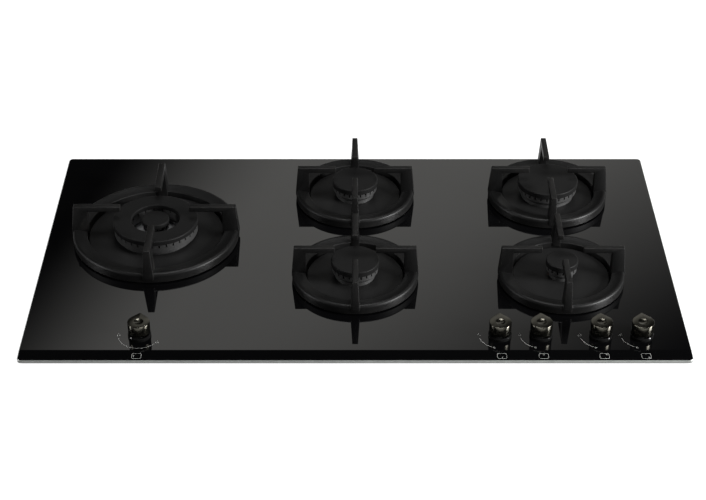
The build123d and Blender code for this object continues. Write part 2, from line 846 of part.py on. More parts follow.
def make_taps():
    with BuildPart() as taps:
        for name, x in knob_x.items():
            tap_body(x, (-wok_outlet_offset, wok_outlet_offset) if name == "wok" else (0,))
    save(taps, "gas_taps")
    with BuildPart() as switches:
        for x in knob_x.values():
            reach = (bonnet_w - switch_w) / 2
            block(x + reach, knob_y, tap_z + bonnet_t, switch_w, switch_d, switch_h)
            button_z = tap_z + bonnet_t + switch_h
            disc(x + reach - switch_button_shift, knob_y, button_z, switch_button_r, switch_button_h)
    save(switches, "ignition_switches")


def tap_plug(name, x):
    """The brass cone that turns in the tap, slotted across its top for the spindle."""
    with BuildPart() as plug:
        top = -chamber_h
        turned(x, knob_y, tap_z, [(0, top - plug_h), (plug_bottom_r, top - plug_h), (plug_top_r, top), (0, top)])
        slot_z = tap_z + top - slot_depth
        block(x, knob_y, slot_z, slot_w + 2 * fit, 4 * plug_top_r, 2 * slot_depth, Mode.SUBTRACT)
        gas_way_z = slot_z - 2 * gas_way_r
        rod_y(x, knob_y - plug_top_r, gas_way_z, gas_way_r, plug_top_r, Mode.SUBTRACT)
    save(plug, f"{name}_tap_plug")


def spindle(name, x):
    """The shaft between knob and plug: a tongue below, a collar, and a flat for the knob."""
    with BuildPart() as shaft:
        collar_z = tap_z - ease - collar_t
        disc(x, knob_y, collar_z, spindle_r, glass_top + spindle_top - collar_z)
        disc(x, knob_y, collar_z, collar_r, collar_t)
        block(x, knob_y, tap_z - tongue_drop, slot_w, 2 * spindle_r, collar_z - tap_z + tongue_drop)
        flat_z = glass_top + knob_gap
        flat_d = spindle_r - spindle_flat
        block(x, knob_y - spindle_flat - flat_d / 2, flat_z, 2 * spindle_r, flat_d, knob_h, Mode.SUBTRACT)
    save(shaft, f"{name}_spindle")


def knob(name, x):
    """A metal drum with a broken edge, a thumb dimple on top and a pointer at the back of its rim."""
    bottom = glass_top + knob_gap
    top = bottom + knob_h
    hub_r = spindle_r + knob_skirt
    with BuildPart() as piece:
        turned(x, knob_y, bottom, [
            (hub_r, 1),
            (hub_r, knob_hollow),
            (knob_r - knob_skirt, knob_hollow),
            (knob_r - knob_skirt, 0),
            (knob_r, 0),
            (knob_r, knob_h - knob_edge),
            (knob_r - knob_edge, knob_h),
            (0, knob_h),
            (0, 1),
        ])
        with BuildSketch(Plane((x, knob_y, top + nose_rise))) as pointer:
            with BuildLine():
                root_y = knob_r - knob_skirt - 1
                tip_y = knob_r + nose_reach
                Line((-nose_root_w / 2, root_y), (nose_root_w / 2, root_y))
                Line((nose_root_w / 2, root_y), (nose_tip_w / 2, tip_y - 1))
                ThreePointArc((nose_tip_w / 2, tip_y - 1), (0, tip_y), (-nose_tip_w / 2, tip_y - 1))
                Line((-nose_tip_w / 2, tip_y - 1), (-nose_root_w / 2, root_y))
            make_face()
        extrude(pointer.sketch, amount=-nose_h)
        dome_r = (dimple_r ** 2 + dimple_depth ** 2) / (2 * dimple_depth)
        with Locations((x, knob_y, top - dimple_depth + dome_r)):
            Sphere(dome_r, mode=Mode.SUBTRACT)
        with BuildSketch(Plane((x, knob_y, bottom + 1))) as bore:
            Circle(spindle_r + fit)
            with Locations((0, -spindle_flat - fit - spindle_r / 2)):
                Rectangle(2 * knob_r, spindle_r, mode=Mode.SUBTRACT)
        extrude(bore.sketch, amount=spindle_top - knob_gap - 1 + ease, mode=Mode.SUBTRACT)
    save(piece, f"{name}_knob")


def make_bezels():
    """Low rings on the glass round the spindles, each with a sleeve through the glass."""
    with BuildPart() as bezels:
        for x in knob_x.values():
            bore_r = spindle_r + ease
            turned(x, knob_y, glass_top, [
                (bore_r, -glass_t),
                (spindle_hole_r - ease, -glass_t),
                (spindle_hole_r - ease, 0),
                (bezel_r, 0),
                (bezel_r, bezel_h - 1),
                (bezel_r - 1, bezel_h),
                (bezel_r - bezel_lip, bezel_h),
                (bezel_r - bezel_lip, bezel_floor),
                (bore_r, bezel_floor),
            ])
    save(bezels, "knob_bezels")


# --- Gas train -----------------------------------------------------------------------------------------
def make_rail():
    left = min(knob_x.values()) - rail_end
    right = max(knob_x.values()) + rail_end
    with BuildPart() as rail:
        with BuildSketch(Plane(origin=(left, rail_y, rail_z), x_dir=(0, 1, 0), z_dir=(1, 0, 0))):
            RectangleRounded(rail_w, rail_w, rail_corner_r)
        extrude(amount=right - left)
        with BuildSketch(Plane(origin=(left + rail_wall, rail_y, rail_z), x_dir=(0, 1, 0), z_dir=(1, 0, 0))):
            Rectangle(rail_w - 2 * rail_wall, rail_w - 2 * rail_wall)
        extrude(amount=right - left - 2 * rail_wall, mode=Mode.SUBTRACT)
    save(rail, "gas_manifold")


def tube(points, outer_r, wall, bend_r):
    """A bent tube along a route of points, which leaves its first point towards the back."""
    with BuildPart() as piece:
        with BuildLine():
            FilletPolyline(*points, radius=bend_r)
        with BuildSketch(Plane(origin=points[0], x_dir=(1, 0, 0), z_dir=(0, 1, 0))):
            Circle(outer_r)
            Circle(outer_r - wall, mode=Mode.SUBTRACT)
        sweep()
    return piece.part


def make_pipes():
    start_y = knob_y + tap_r + outlet_l - pipe_inset + ease
    high_y = rail_y + rail_w / 2
    low_y = high_y + pipe_step
    turn_y = low_y + pipe_step
    lane_y = turn_y + pipe_lane * pipe_r

    def socket(b):
        """Where a pipe ends inside the inlet of a burner's cup."""
        return (b.x, b.y - b.well_r - cup_wall - ease, cup_pipe_z)

    def start(name, side=0.0, low=True):
        """The stretch from a tap over the rail, and down behind it for a low pipe."""
        x = knob_x[name] + side
        route = [(x, start_y, tap_pipe_z)]
        if low:
            route += [(x, high_y, tap_pipe_z), (x, low_y, cup_pipe_z)]
        return route

    def before(b):
        """The line along which a pipe turns towards a burner's socket."""
        return b.y - b.collar_r - pipe_clear * pipe_r

    clear_x = centre_x + centre_front.collar_r + pipe_clear * pipe_r
    routes = [start("wok", side) + [(wok.x + side, socket(wok)[1], cup_pipe_z)]
              for side in (-wok_outlet_offset, wok_outlet_offset)]
    routes.append(start("centre_front") + [
        (knob_x["centre_front"], turn_y, cup_pipe_z),
        (centre_x, turn_y, cup_pipe_z),
        socket(centre_front),
    ])
    routes.append(start("centre_rear") + [
        (knob_x["centre_rear"], lane_y, cup_pipe_z),
        (clear_x, lane_y, cup_pipe_z),
        (clear_x, before(centre_rear), cup_pipe_z),
        (centre_x, before(centre_rear), cup_pipe_z),
        socket(centre_rear),
    ])
    routes.append(start("right_rear") + [
        (knob_x["right_rear"], before(right_rear), cup_pipe_z),
        (right_x, before(right_rear), cup_pipe_z),
        socket(right_rear),
    ])
    socket_y = socket(right_front)[1]
    routes.append(start("right_front", low=False) + [
        (knob_x["right_front"], low_y + 2 * pipe_r, tap_pipe_z),
        (right_x, low_y + 2 * pipe_r, tap_pipe_z),
        (right_x, socket_y - fall_start, tap_pipe_z),
        (right_x, socket_y - fall_end, cup_pipe_z),
        socket(right_front),
    ])
    with BuildPart() as pipes:
        for route in routes:
            add(tube(route, pipe_r, pipe_wall, pipe_bend_r))
    save(pipes, "gas_pipes")


def elbow_z():
    """Height of the supply pipe where it leaves the box: above the inlet thread."""
    return inlet_floor_gap + inlet_thread_l + elbow_r + elbow_neck


def make_supply():
    start_y = rail_y + rail_w / 2
    wall_y = box_half_d - notch_d
    route = [
        (supply_x, start_y, rail_z),
        (supply_x, start_y + supply_run, rail_z),
        (supply_x, start_y + supply_run + supply_slope, elbow_z()),
        (supply_x, wall_y + 2 * sheet, elbow_z()),
    ]
    with BuildPart() as supply:
        add(tube(route, supply_r, supply_wall, supply_bend_r))
    save(supply, "supply_pipe")
    elbow_y = wall_y + 2 * sheet + elbow_r + elbow_socket
    with BuildPart() as elbow:
        rod_y(supply_x, wall_y + 2 * sheet, elbow_z(), elbow_r, elbow_r + elbow_socket)
        disc(supply_x, elbow_y, elbow_z() - elbow_r - elbow_neck, elbow_r, elbow_r + elbow_neck)
        with Locations((supply_x, elbow_y, elbow_z())):
            Sphere(elbow_r)
        disc(supply_x, elbow_y, inlet_floor_gap, inlet_thread_r, inlet_thread_l)
        disc(supply_x, elbow_y, inlet_floor_gap, inlet_bore_r, elbow_z() - inlet_floor_gap, Mode.SUBTRACT)
        rod_y(supply_x, wall_y, elbow_z(), supply_r - supply_wall, elbow_y - wall_y, Mode.SUBTRACT)
    save(elbow, "inlet_elbow")


# --- Brackets, clamps, screws and electrics --------------------------------------------------------------
def hat(x, y, half_w, top_z, depth):
    """A folded strip that stands on the box floor with two feet, its flat top at top_z."""
    t = bracket_t
    h = top_z - sheet
    with BuildSketch(upright(x, y + depth / 2, sheet)) as fold:
        Polygon(
            (-half_w - bracket_foot, 0),
            (-half_w, 0),
            (-half_w, h - t),
            (half_w, h - t),
            (half_w, 0),
            (half_w + bracket_foot, 0),
            (half_w + bracket_foot, t),
            (half_w + t, t),
            (half_w + t, h),
            (-half_w - t, h),
            (-half_w - t, t),
            (-half_w - bracket_foot, t),
            align=None,
        )
    extrude(fold.sketch, amount=depth)


def make_brackets():
    with BuildPart() as brackets:
        for b in burners:
            hat(b.x, b.y, b.well_r + cup_wall, cup_bottom_z, bracket_w)
        for x in ((wok_x + centre_x) / 2, centre_x, (centre_x + right_x) / 2):
            hat(x, rail_y, saddle_w / 2, rail_z - rail_w / 2, rail_w)
    save(brackets, "mounting_brackets")


def screw_z():
    """Height of the screws that hold the fixing clamps."""
    return seal_bottom_z - worktop_t + clamp_h * clamp_screw_share


def make_clamps():
    """L-shaped clamps on the side walls: their feet reach out under the worktop."""
    foot_z = seal_bottom_z - worktop_t
    with BuildPart() as clamps:
        for side in (-1, 1):
            for y in (-clamp_y, clamp_y):
                wall_x = side * box_half_w
                block(wall_x + side * clamp_t / 2, y, foot_z - clamp_t, clamp_t, clamp_w, clamp_h)
                block(wall_x + side * clamp_reach / 2, y, foot_z - clamp_t, clamp_reach, clamp_w, clamp_t)
                with Locations(Location((wall_x, y, screw_z()), (0, 90, 0))):
                    Cylinder(screw_r + fit, 4 * clamp_t, mode=Mode.SUBTRACT)
    save(clamps, "fixing_clamps")


def make_screws():
    """Pan-head screws: two through each tap bonnet, one through each clamp."""
    with BuildPart() as screws:
        for x in knob_x.values():
            for y in (knob_y - screw_offset, knob_y + screw_offset):
                disc(x, y, tap_z + bonnet_t - screw_l, screw_r, screw_l)
                disc(x, y, tap_z + bonnet_t, screw_head_r, screw_head_h)
        for side in (-1, 1):
            for y in (-clamp_y, clamp_y):
                head_x = side * (box_half_w + clamp_t)
                with Locations(Location((head_x - side * screw_l / 2, y, screw_z()), (0, 90, 0))):
                    Cylinder(screw_r, screw_l)
                with Locations(Location((head_x + side * screw_head_h / 2, y, screw_z()), (0, 90, 0))):
                    Cylinder(screw_head_r, screw_head_h)
    save(screws, "screws")


def gland_z():
    """Height of the cable gland in the back wall."""
    return sheet + terminal_h / 2


def make_electrics():
    with BuildPart() as module:
        block(module_x, module_y, sheet, module_w, module_d, module_h)
        fillet(module.edges().filter_by(Axis.Z), module_edge_r)
        block(module_x, module_y, sheet, module_w + 2 * module_ear, module_d / 3, module_ear_t)
        pitch = module_w / (len(burners) + 1)
        for index in range(len(burners)):
            x = module_x - module_w / 2 + (index + 1) * pitch
            disc(x, module_y, sheet + module_h, lead_post_r, lead_post_h)
    save(module, "ignition_module")
    with BuildPart() as terminal:
        y = box_half_d - sheet - terminal_d / 2
        block(terminal_x, y, sheet, terminal_w, terminal_d, terminal_h)
        rod_y(terminal_x, y, gland_z(), gland_r, terminal_d / 2 + sheet + gland_l)
        rod_y(terminal_x, y, gland_z(), gland_r - gland_wall, terminal_d, Mode.SUBTRACT)
    save(terminal, "terminal_block")


make_glass()
make_seal()
make_box()
make_cups()
make_injectors()
make_gaskets()
make_plates()
make_heads()
make_probes()
for one_support in supports:
    pan_support(one_support)
    support_feet(one_support)
make_taps()
for knob_name, knob_place in knob_x.items():
    tap_plug(knob_name, knob_place)
    spindle(knob_name, knob_place)
    knob(knob_name, knob_place)
make_bezels()
make_rail()
make_pipes()
make_supply()
make_brackets()
make_clamps()
make_screws()
make_electrics()
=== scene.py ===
import json
import math

import bmesh
import bpy
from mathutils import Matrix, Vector


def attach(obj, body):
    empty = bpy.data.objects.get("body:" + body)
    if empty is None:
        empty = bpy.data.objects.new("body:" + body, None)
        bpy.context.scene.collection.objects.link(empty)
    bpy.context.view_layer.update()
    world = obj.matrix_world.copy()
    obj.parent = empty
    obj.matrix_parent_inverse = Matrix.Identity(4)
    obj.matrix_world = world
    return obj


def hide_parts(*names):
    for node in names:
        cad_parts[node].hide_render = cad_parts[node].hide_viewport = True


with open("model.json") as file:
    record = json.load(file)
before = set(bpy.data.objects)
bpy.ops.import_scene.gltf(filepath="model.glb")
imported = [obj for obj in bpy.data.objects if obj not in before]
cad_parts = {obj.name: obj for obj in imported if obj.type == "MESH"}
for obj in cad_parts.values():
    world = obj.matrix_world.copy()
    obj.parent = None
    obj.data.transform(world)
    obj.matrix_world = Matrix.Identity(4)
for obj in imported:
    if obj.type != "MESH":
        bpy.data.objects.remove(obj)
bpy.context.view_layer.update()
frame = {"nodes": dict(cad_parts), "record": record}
nodes = frame["nodes"]

# Places and sizes of the cooktop in metres, as the source has them
GLASS_TOP = 0.056
GLASS_W = 0.900
GLASS_D = 0.510
SEAL_BOTTOM = 0.048
KNOB_Y = -0.202
KNOB_X = {
    "wok": -0.2915,
    "centre_front": 0.1955,
    "centre_rear": 0.251,
    "right_rear": 0.332,
    "right_front": 0.3875,
}
BURNER_XY = {
    "wok": (-0.2915, 0.038),
    "centre_rear": (0.0, 0.144),
    "centre_front": (0.0, -0.068),
    "right_rear": (0.2915, 0.144),
    "right_front": (0.2915, -0.068),
}
GLASS_R = 0.006          # corners of the glass
ARRIS = 0.0010           # its ground edge
BORDER_D = 0.021         # the sloping border at the front of the glass
BORDER_FALL = 0.002      # and how much lower its front edge lies

# The photograph's camera
CAMERA_PLACE = (-0.003, -1.992, 1.431)
CAMERA_TILT = 34.6       # degrees below level
CAMERA_LENS = 85.0

# Brightness of the screen behind the cooktop, and of the rest of the studio
SCREEN_LEVEL = 0.93
ROOM_LEVEL = 0.006
STUDIO_TINT = (1.0, 0.99, 0.95)

# Each lamp: place, what it is aimed at, width, height and power
LAMPS = {
    "lamp_above": ((0.1, 0.15, 2.5), (0.0, 0.0, 0.06), 1.4, 1.0, 70.0),
    "lamp_right": ((2.1, -0.75, 0.85), (0.1, 0.0, 0.06), 0.8, 0.7, 240.0),
    "lamp_left": ((-2.2, -0.4, 0.9), (0.0, 0.0, 0.06), 0.5, 0.6, 40.0),
}

# The pale worktop: half its size, half its cut-out, its tone, its glow and the glow's share where it is seen
FLOOR_HALF = 6.0
CUT_OUT_HALF = (0.430, 0.242)
FLOOR_TONE = 0.80
FLOOR_GLOW = 1.1
FLOOR_GLOW_SHARE = 0.8


def stand(name, mesh):
    """A new object at the origin, in the scene."""
    obj = bpy.data.objects.new(name, mesh)
    bpy.context.scene.collection.objects.link(obj)
    return obj


# --- Camera, light and floor ---------------------------------------------------------------------
def set_camera():
    data = bpy.data.cameras.new("camera")
    data.lens = CAMERA_LENS
    data.sensor_width = 36.0
    data.clip_end = 50.0
    cam = stand("camera", data)
    cam.location = CAMERA_PLACE
    cam.rotation_euler = (math.radians(90.0 - CAMERA_TILT), 0.0, 0.0)
    bpy.context.scene.camera = cam
    bpy.context.scene.view_settings.view_transform = "Standard"


def math_node(tree, operation, a, b=None, c=None, clamp=False):
    """One arithmetic step of a node tree. Numbers are set on the socket, sockets are linked."""
    step = tree.nodes.new("ShaderNodeMath")
    step.operation = operation
    step.use_clamp = clamp
    for socket, value in zip(step.inputs, (a, b, c)):
        if isinstance(value, (int, float)):
            socket.default_value = value
        elif value is not None:
            tree.links.new(value, socket)
    return step.outputs[0]


def fade(tree, value, low, high):
    """Smooth step from 0 at low to 1 at high, which may be the lower number."""
    step = tree.nodes.new("ShaderNodeMapRange")
    step.interpolation_type = "SMOOTHSTEP"
    tree.links.new(value, step.inputs["Value"])
    flip = low > high
    step.inputs["From Min"].default_value = high if flip else low
    step.inputs["From Max"].default_value = low if flip else high
    step.inputs["To Min"].default_value = 1.0 if flip else 0.0
    step.inputs["To Max"].default_value = 0.0 if flip else 1.0
    return step.outputs["Result"]


def set_world():
    """A white studio: a large soft screen behind the cooktop that fades out to its left, right and top."""
    world = bpy.data.worlds.new("studio")
    bpy.context.scene.world = world
    world.use_nodes = True
    tree = world.node_tree
    tree.nodes.clear()
    out = tree.nodes.new("ShaderNodeOutputWorld")
    where = tree.nodes.new("ShaderNodeTexCoord")
    split = tree.nodes.new("ShaderNodeSeparateXYZ")
    tree.links.new(where.outputs["Generated"], split.inputs[0])
    x, y, z = split.outputs
    depth = math_node(tree, "MAXIMUM", y, 0.02)
    side = math_node(tree, "DIVIDE", x, depth)
    rise = math_node(tree, "DIVIDE", z, depth)
    # both edges of the screen lean: what counts is the side plus a share of the rise
    left = math_node(tree, "ADD", side, math_node(tree, "MULTIPLY", rise, 0.73))
    right = math_node(tree, "ADD", side, math_node(tree, "MULTIPLY", rise, 1.077))
    screen = math_node(tree, "MULTIPLY", fade(tree, left, 0.279, 0.415), fade(tree, right, 1.117, 0.733))
    screen = math_node(tree, "MULTIPLY", screen, fade(tree, rise, 1.12, 0.86))
    screen = math_node(tree, "MULTIPLY", screen, fade(tree, y, 0.0, 0.12))
    level = math_node(tree, "MULTIPLY_ADD", screen, SCREEN_LEVEL - ROOM_LEVEL, ROOM_LEVEL)
    room = tree.nodes.new("ShaderNodeBackground")
    room.inputs["Color"].default_value = (*STUDIO_TINT, 1.0)
    tree.links.new(level, room.inputs["Strength"])
    white = tree.nodes.new("ShaderNodeBackground")
    white.inputs["Strength"].default_value = 1.0
    path = tree.nodes.new("ShaderNodeLightPath")
    mix = tree.nodes.new("ShaderNodeMixShader")
    tree.links.new(path.outputs["Is Camera Ray"], mix.inputs[0])
    tree.links.new(room.outputs[0], mix.inputs[1])
    tree.links.new(white.outputs[0], mix.inputs[2])
    tree.links.new(mix.outputs[0], out.inputs["Surface"])


def lamp(name, place, aim, width, height, power):
    data = bpy.data.lights.new(name, "AREA")
    data.shape = "RECTANGLE"
    data.size = width
    data.size_y = height
    data.energy = power
    obj = stand(name, data)
    obj.location = place
    obj.rotation_euler = (Vector(aim) - Vector(place)).to_track_quat("-Z", "Y").to_euler()


def make_floor():
    """The pale worktop that the glass lies on, with its cut-out for the burner box."""
    corners = ((-1, -1), (1, -1), (1, 1), (-1, 1))
    halves = ((FLOOR_HALF, FLOOR_HALF), CUT_OUT_HALF)
    mesh = bpy.data.meshes.new("worktop_floor")
    verts = [(x * half_x, y * half_y, SEAL_BOTTOM) for half_x, half_y in halves for x, y in corners]
    faces = [(i, (i + 1) % 4, 4 + (i + 1) % 4, 4 + i) for i in range(4)]
    mesh.from_pydata(verts, [], faces)
    floor = stand("worktop_floor", mesh)
    mat = bpy.data.materials.new("pale_worktop")
    mat.use_nodes = True
    tree = mat.node_tree
    tree.nodes.clear()
    out = tree.nodes.new("ShaderNodeOutputMaterial")
    plain = tree.nodes.new("ShaderNodeBsdfDiffuse")
    plain.inputs["Color"].default_value = (FLOOR_TONE, FLOOR_TONE, FLOOR_TONE, 1.0)
    glow = tree.nodes.new("ShaderNodeEmission")
    glow.inputs["Strength"].default_value = FLOOR_GLOW
    path = tree.nodes.new("ShaderNodeLightPath")
    seen = math_node(tree, "MAXIMUM", path.outputs["Is Camera Ray"], path.outputs["Is Glossy Ray"])
    seen = math_node(tree, "MAXIMUM", seen, path.outputs["Is Transmission Ray"])
    top = tree.nodes.new("ShaderNodeMixShader")
    tree.links.new(math_node(tree, "MULTIPLY", seen, FLOOR_GLOW_SHARE), top.inputs[0])
    tree.links.new(plain.outputs[0], top.inputs[1])
    tree.links.new(glow.outputs[0], top.inputs[2])
    under = tree.nodes.new("ShaderNodeBsdfTransparent")
    side = tree.nodes.new("ShaderNodeNewGeometry")
    mix = tree.nodes.new("ShaderNodeMixShader")
    tree.links.new(side.outputs["Backfacing"], mix.inputs[0])
    tree.links.new(top.outputs[0], mix.inputs[1])
    tree.links.new(under.outputs[0], mix.inputs[2])
    tree.links.new(mix.outputs[0], out.inputs["Surface"])
    mesh.materials.append(mat)


# --- Shared surface effects ----------------------------------------------------------------------
def new_group(name, inputs, outputs):
    """A shader node group with named sockets: inputs and outputs are (name, kind, default)."""
    group = bpy.data.node_groups.new(name, "ShaderNodeTree")
    for label, kind, value in inputs:
        socket = group.interface.new_socket(label, in_out="INPUT", socket_type=kind)
        if value is not None:
            socket.default_value = value
    for label, kind in outputs:
        group.interface.new_socket(label, in_out="OUTPUT", socket_type=kind)
    return group, group.nodes.new("NodeGroupInput"), group.nodes.new("NodeGroupOutput")


def noise(tree, vector, scale, detail, rough):
    made = tree.nodes.new("ShaderNodeTexNoise")
    tree.links.new(vector, made.inputs["Vector"])
    for label, value in (("Scale", scale), ("Detail", detail), ("Roughness", rough)):
        if isinstance(value, (int, float)):
            made.inputs[label].default_value = value
        else:
            tree.links.new(value, made.inputs[label])
    return made.outputs["Fac"]


def grain_group():
    """Fine even grain, with a slow drift of tone over the piece."""
    group, ins, outs = new_group("fine grain", [
        ("Vector", "NodeSocketVector", None),
        ("Scale", "NodeSocketFloat", 900.0),
        ("Drift Scale", "NodeSocketFloat", 18.0),
    ], [("Grain", "NodeSocketFloat"), ("Drift", "NodeSocketFloat")])
    vector = ins.outputs["Vector"]
    fine = noise(group, vector, ins.outputs["Scale"], 3.0, 0.6)
    slow = noise(group, vector, ins.outputs["Drift Scale"], 4.0, 0.5)
    group.links.new(fine, outs.inputs["Grain"])
    group.links.new(slow, outs.inputs["Drift"])
    return group


def casting_group():
    """The skin of enamelled cast iron: sand grain, shallow pits and a few brighter specks."""
    group, ins, outs = new_group("casting skin", [
        ("Vector", "NodeSocketVector", None),
        ("Grain Scale", "NodeSocketFloat", 1100.0),
        ("Pit Scale", "NodeSocketFloat", 420.0),
    ], [("Height", "NodeSocketFloat"), ("Specks", "NodeSocketFloat"), ("Drift", "NodeSocketFloat")])
    vector = ins.outputs["Vector"]
    fine = noise(group, vector, ins.outputs["Grain Scale"], 4.0, 0.65)
    pits = group.nodes.new("ShaderNodeTexVoronoi")
    group.links.new(vector, pits.inputs["Vector"])
    group.links.new(ins.outputs["Pit Scale"], pits.inputs["Scale"])
    dent = fade(group, pits.outputs["Distance"], 0.0, 0.55)
    height = math_node(group, "MULTIPLY_ADD", fine, 0.6, math_node(group, "MULTIPLY", dent, 0.4))
    group.links.new(height, outs.inputs["Height"])
    specks = fade(group, fine, 0.60, 0.74)
    group.links.new(specks, outs.inputs["Specks"])
    group.links.new(noise(group, vector, 14.0, 3.0, 0.5), outs.inputs["Drift"])
    return group


def lines_group():
    """Fine lines that follow one direction of the pattern: the second coordinate runs across them."""
    group, ins, outs = new_group("brushed lines", [
        ("Vector", "NodeSocketVector", None),
        ("Along", "NodeSocketFloat", 6.0),
        ("Across", "NodeSocketFloat", 900.0),
    ], [("Lines", "NodeSocketFloat")])
    split = group.nodes.new("ShaderNodeSeparateXYZ")
    group.links.new(ins.outputs["Vector"], split.inputs[0])
    join = group.nodes.new("ShaderNodeCombineXYZ")
    group.links.new(math_node(group, "MULTIPLY", split.outputs[0], ins.outputs["Along"]), join.inputs[0])
    group.links.new(math_node(group, "MULTIPLY", split.outputs[1], ins.outputs["Across"]), join.inputs[1])
    group.links.new(math_node(group, "MULTIPLY", split.outputs[2], ins.outputs["Along"]), join.inputs[2])
    group.links.new(noise(group, join.outputs[0], 1.0, 3.0, 0.6), outs.inputs["Lines"])
    return group


def spangle_group():
    """The crystal pattern of hot-dip galvanised sheet."""
    group, ins, outs = new_group("zinc spangle", [
        ("Vector", "NodeSocketVector", None),
        ("Scale", "NodeSocketFloat", 110.0),
    ], [("Tone", "NodeSocketFloat"), ("Height", "NodeSocketFloat")])
    cells = group.nodes.new("ShaderNodeTexVoronoi")
    group.links.new(ins.outputs["Vector"], cells.inputs["Vector"])
    group.links.new(ins.outputs["Scale"], cells.inputs["Scale"])
    tone = group.nodes.new("ShaderNodeSeparateColor")
    group.links.new(cells.outputs["Color"], tone.inputs[0])
    group.links.new(tone.outputs[0], outs.inputs["Tone"])
    group.links.new(cells.outputs["Distance"], outs.inputs["Height"])
    return group


def wear_group():
    """Bare or rubbed places on raised edges, broken up by noise."""
    group, ins, outs = new_group("edge wear", [
        ("Vector", "NodeSocketVector", None),
        ("Start", "NodeSocketFloat", 0.53),
        ("End", "NodeSocketFloat", 0.60),
    ], [("Wear", "NodeSocketFloat")])
    shape = group.nodes.new("ShaderNodeNewGeometry")
    span = math_node(group, "SUBTRACT", ins.outputs["End"], ins.outputs["Start"])
    raised = math_node(group, "SUBTRACT", shape.outputs["Pointiness"], ins.outputs["Start"])
    edge = math_node(group, "DIVIDE", raised, span, clamp=True)
    broken = fade(group, noise(group, ins.outputs["Vector"], 260.0, 4.0, 0.6), 0.35, 0.65)
    group.links.new(math_node(group, "MULTIPLY", edge, broken), outs.inputs["Wear"])
    return group


GROUPS = {}


def effect(tree, name, **values):
    """Place a shared effect in a material and set its inputs."""
    made = tree.nodes.new("ShaderNodeGroup")
    made.node_tree = GROUPS[name]
    for label, value in values.items():
        socket = made.inputs[label.replace("_", " ")]
        if isinstance(value, (int, float)):
            socket.default_value = value
        else:
            tree.links.new(value, socket)
    return made.outputs


class Finish:
    """One material: its node tree, its shader and the coordinates its patterns read."""

    def __init__(self, name, color, rough, metallic=0.0, uv=False, **sockets):
        self.mat = bpy.data.materials.new(name)
        self.mat.use_nodes = True
        self.tree = self.mat.node_tree
        self.shader = self.tree.nodes["Principled BSDF"]
        self.shader.inputs["Base Color"].default_value = (*color, 1.0)
        self.shader.inputs["Roughness"].default_value = rough
        self.shader.inputs["Metallic"].default_value = metallic
        for label, value in sockets.items():
            self.shader.inputs[label.replace("_", " ")].default_value = value
        where = self.tree.nodes.new("ShaderNodeTexCoord")
        self.place = where.outputs["UV" if uv else "Object"]
        self.mat.diffuse_color = (*color, 1.0)

    def rough(self, value, low, high):
        """Roughness that follows a 0 to 1 pattern between two values."""
        span = self.tree.nodes.new("ShaderNodeMapRange")
        self.tree.links.new(value, span.inputs["Value"])
        span.inputs["To Min"].default_value = low
        span.inputs["To Max"].default_value = high
        self.tree.links.new(span.outputs["Result"], self.shader.inputs["Roughness"])

    def color(self, value, low, high):
        """Base colour that follows a 0 to 1 pattern between two colours."""
        mix = self.tree.nodes.new("ShaderNodeMix")
        mix.data_type = "RGBA"
        self.tree.links.new(value, mix.inputs["Factor"])
        # the colour sockets of the mix come after its number and vector sockets
        a, b = [s for s in mix.inputs if s.type == "RGBA"]
        a.default_value = (*low, 1.0)
        b.default_value = (*high, 1.0)
        result = [s for s in mix.outputs if s.type == "RGBA"][0]
        self.tree.links.new(result, self.shader.inputs["Base Color"])

    def bump(self, height, depth, strength):
        """Relief of a given depth in metres."""
        relief = self.tree.nodes.new("ShaderNodeBump")
        relief.inputs["Distance"].default_value = depth
        relief.inputs["Strength"].default_value = strength
        self.tree.links.new(height, relief.inputs["Height"])
        self.tree.links.new(relief.outputs[0], self.shader.inputs["Normal"])


# --- Finishes ------------------------------------------------------------------------------------
def black_glass():
    """Polished black glass. Its arris and its sides are ground, so they are paler and dull."""
    f = Finish("black glass", (0.0007, 0.0007, 0.0008), 0.02, IOR=1.5)
    smears = effect(f.tree, "fine grain", Vector=f.place, Scale=90.0, Drift_Scale=7.0)
    split = f.tree.nodes.new("ShaderNodeSeparateXYZ")
    f.tree.links.new(f.place, split.inputs[0])
    beyond = []
    for way, size in ((split.outputs[0], GLASS_W), (split.outputs[1], GLASS_D)):
        past = math_node(f.tree, "SUBTRACT", math_node(f.tree, "ABSOLUTE", way), size / 2 - GLASS_R)
        beyond.append(math_node(f.tree, "POWER", math_node(f.tree, "MAXIMUM", past, 0.0), 2.0))
    reach = math_node(f.tree, "SQRT", math_node(f.tree, "ADD", *beyond))
    ground = fade(f.tree, reach, GLASS_R - ARRIS - 0.0001, GLASS_R - ARRIS + 0.0001)
    grain = math_node(f.tree, "MULTIPLY_ADD", smears["Grain"], 0.5, 0.6)
    grain = math_node(f.tree, "MULTIPLY", ground, grain)
    f.color(grain, (0.0007, 0.0007, 0.0008), (0.10, 0.105, 0.10))
    dull = math_node(f.tree, "MULTIPLY", ground, 0.9)
    dull = math_node(f.tree, "MULTIPLY_ADD", smears["Drift"], 0.06, dull)
    f.rough(dull, 0.008, 0.40)
    return f.mat


def cast_iron():
    f = Finish("black cast iron", grey(0.002), 0.5, Specular_IOR_Level=0.10)
    skin = effect(f.tree, "casting skin", Vector=f.place)
    worn = effect(f.tree, "edge wear", Vector=f.place, Start=0.52, End=0.62)
    tone = math_node(f.tree, "MULTIPLY", worn["Wear"], 0.4)
    tone = math_node(f.tree, "MULTIPLY_ADD", skin["Specks"], 0.35, tone)
    f.color(tone, grey(0.002), (0.018, 0.017, 0.016))
    f.rough(skin["Drift"], 0.38, 0.52)
    f.bump(skin["Height"], 0.00008, 0.7)
    return f.mat


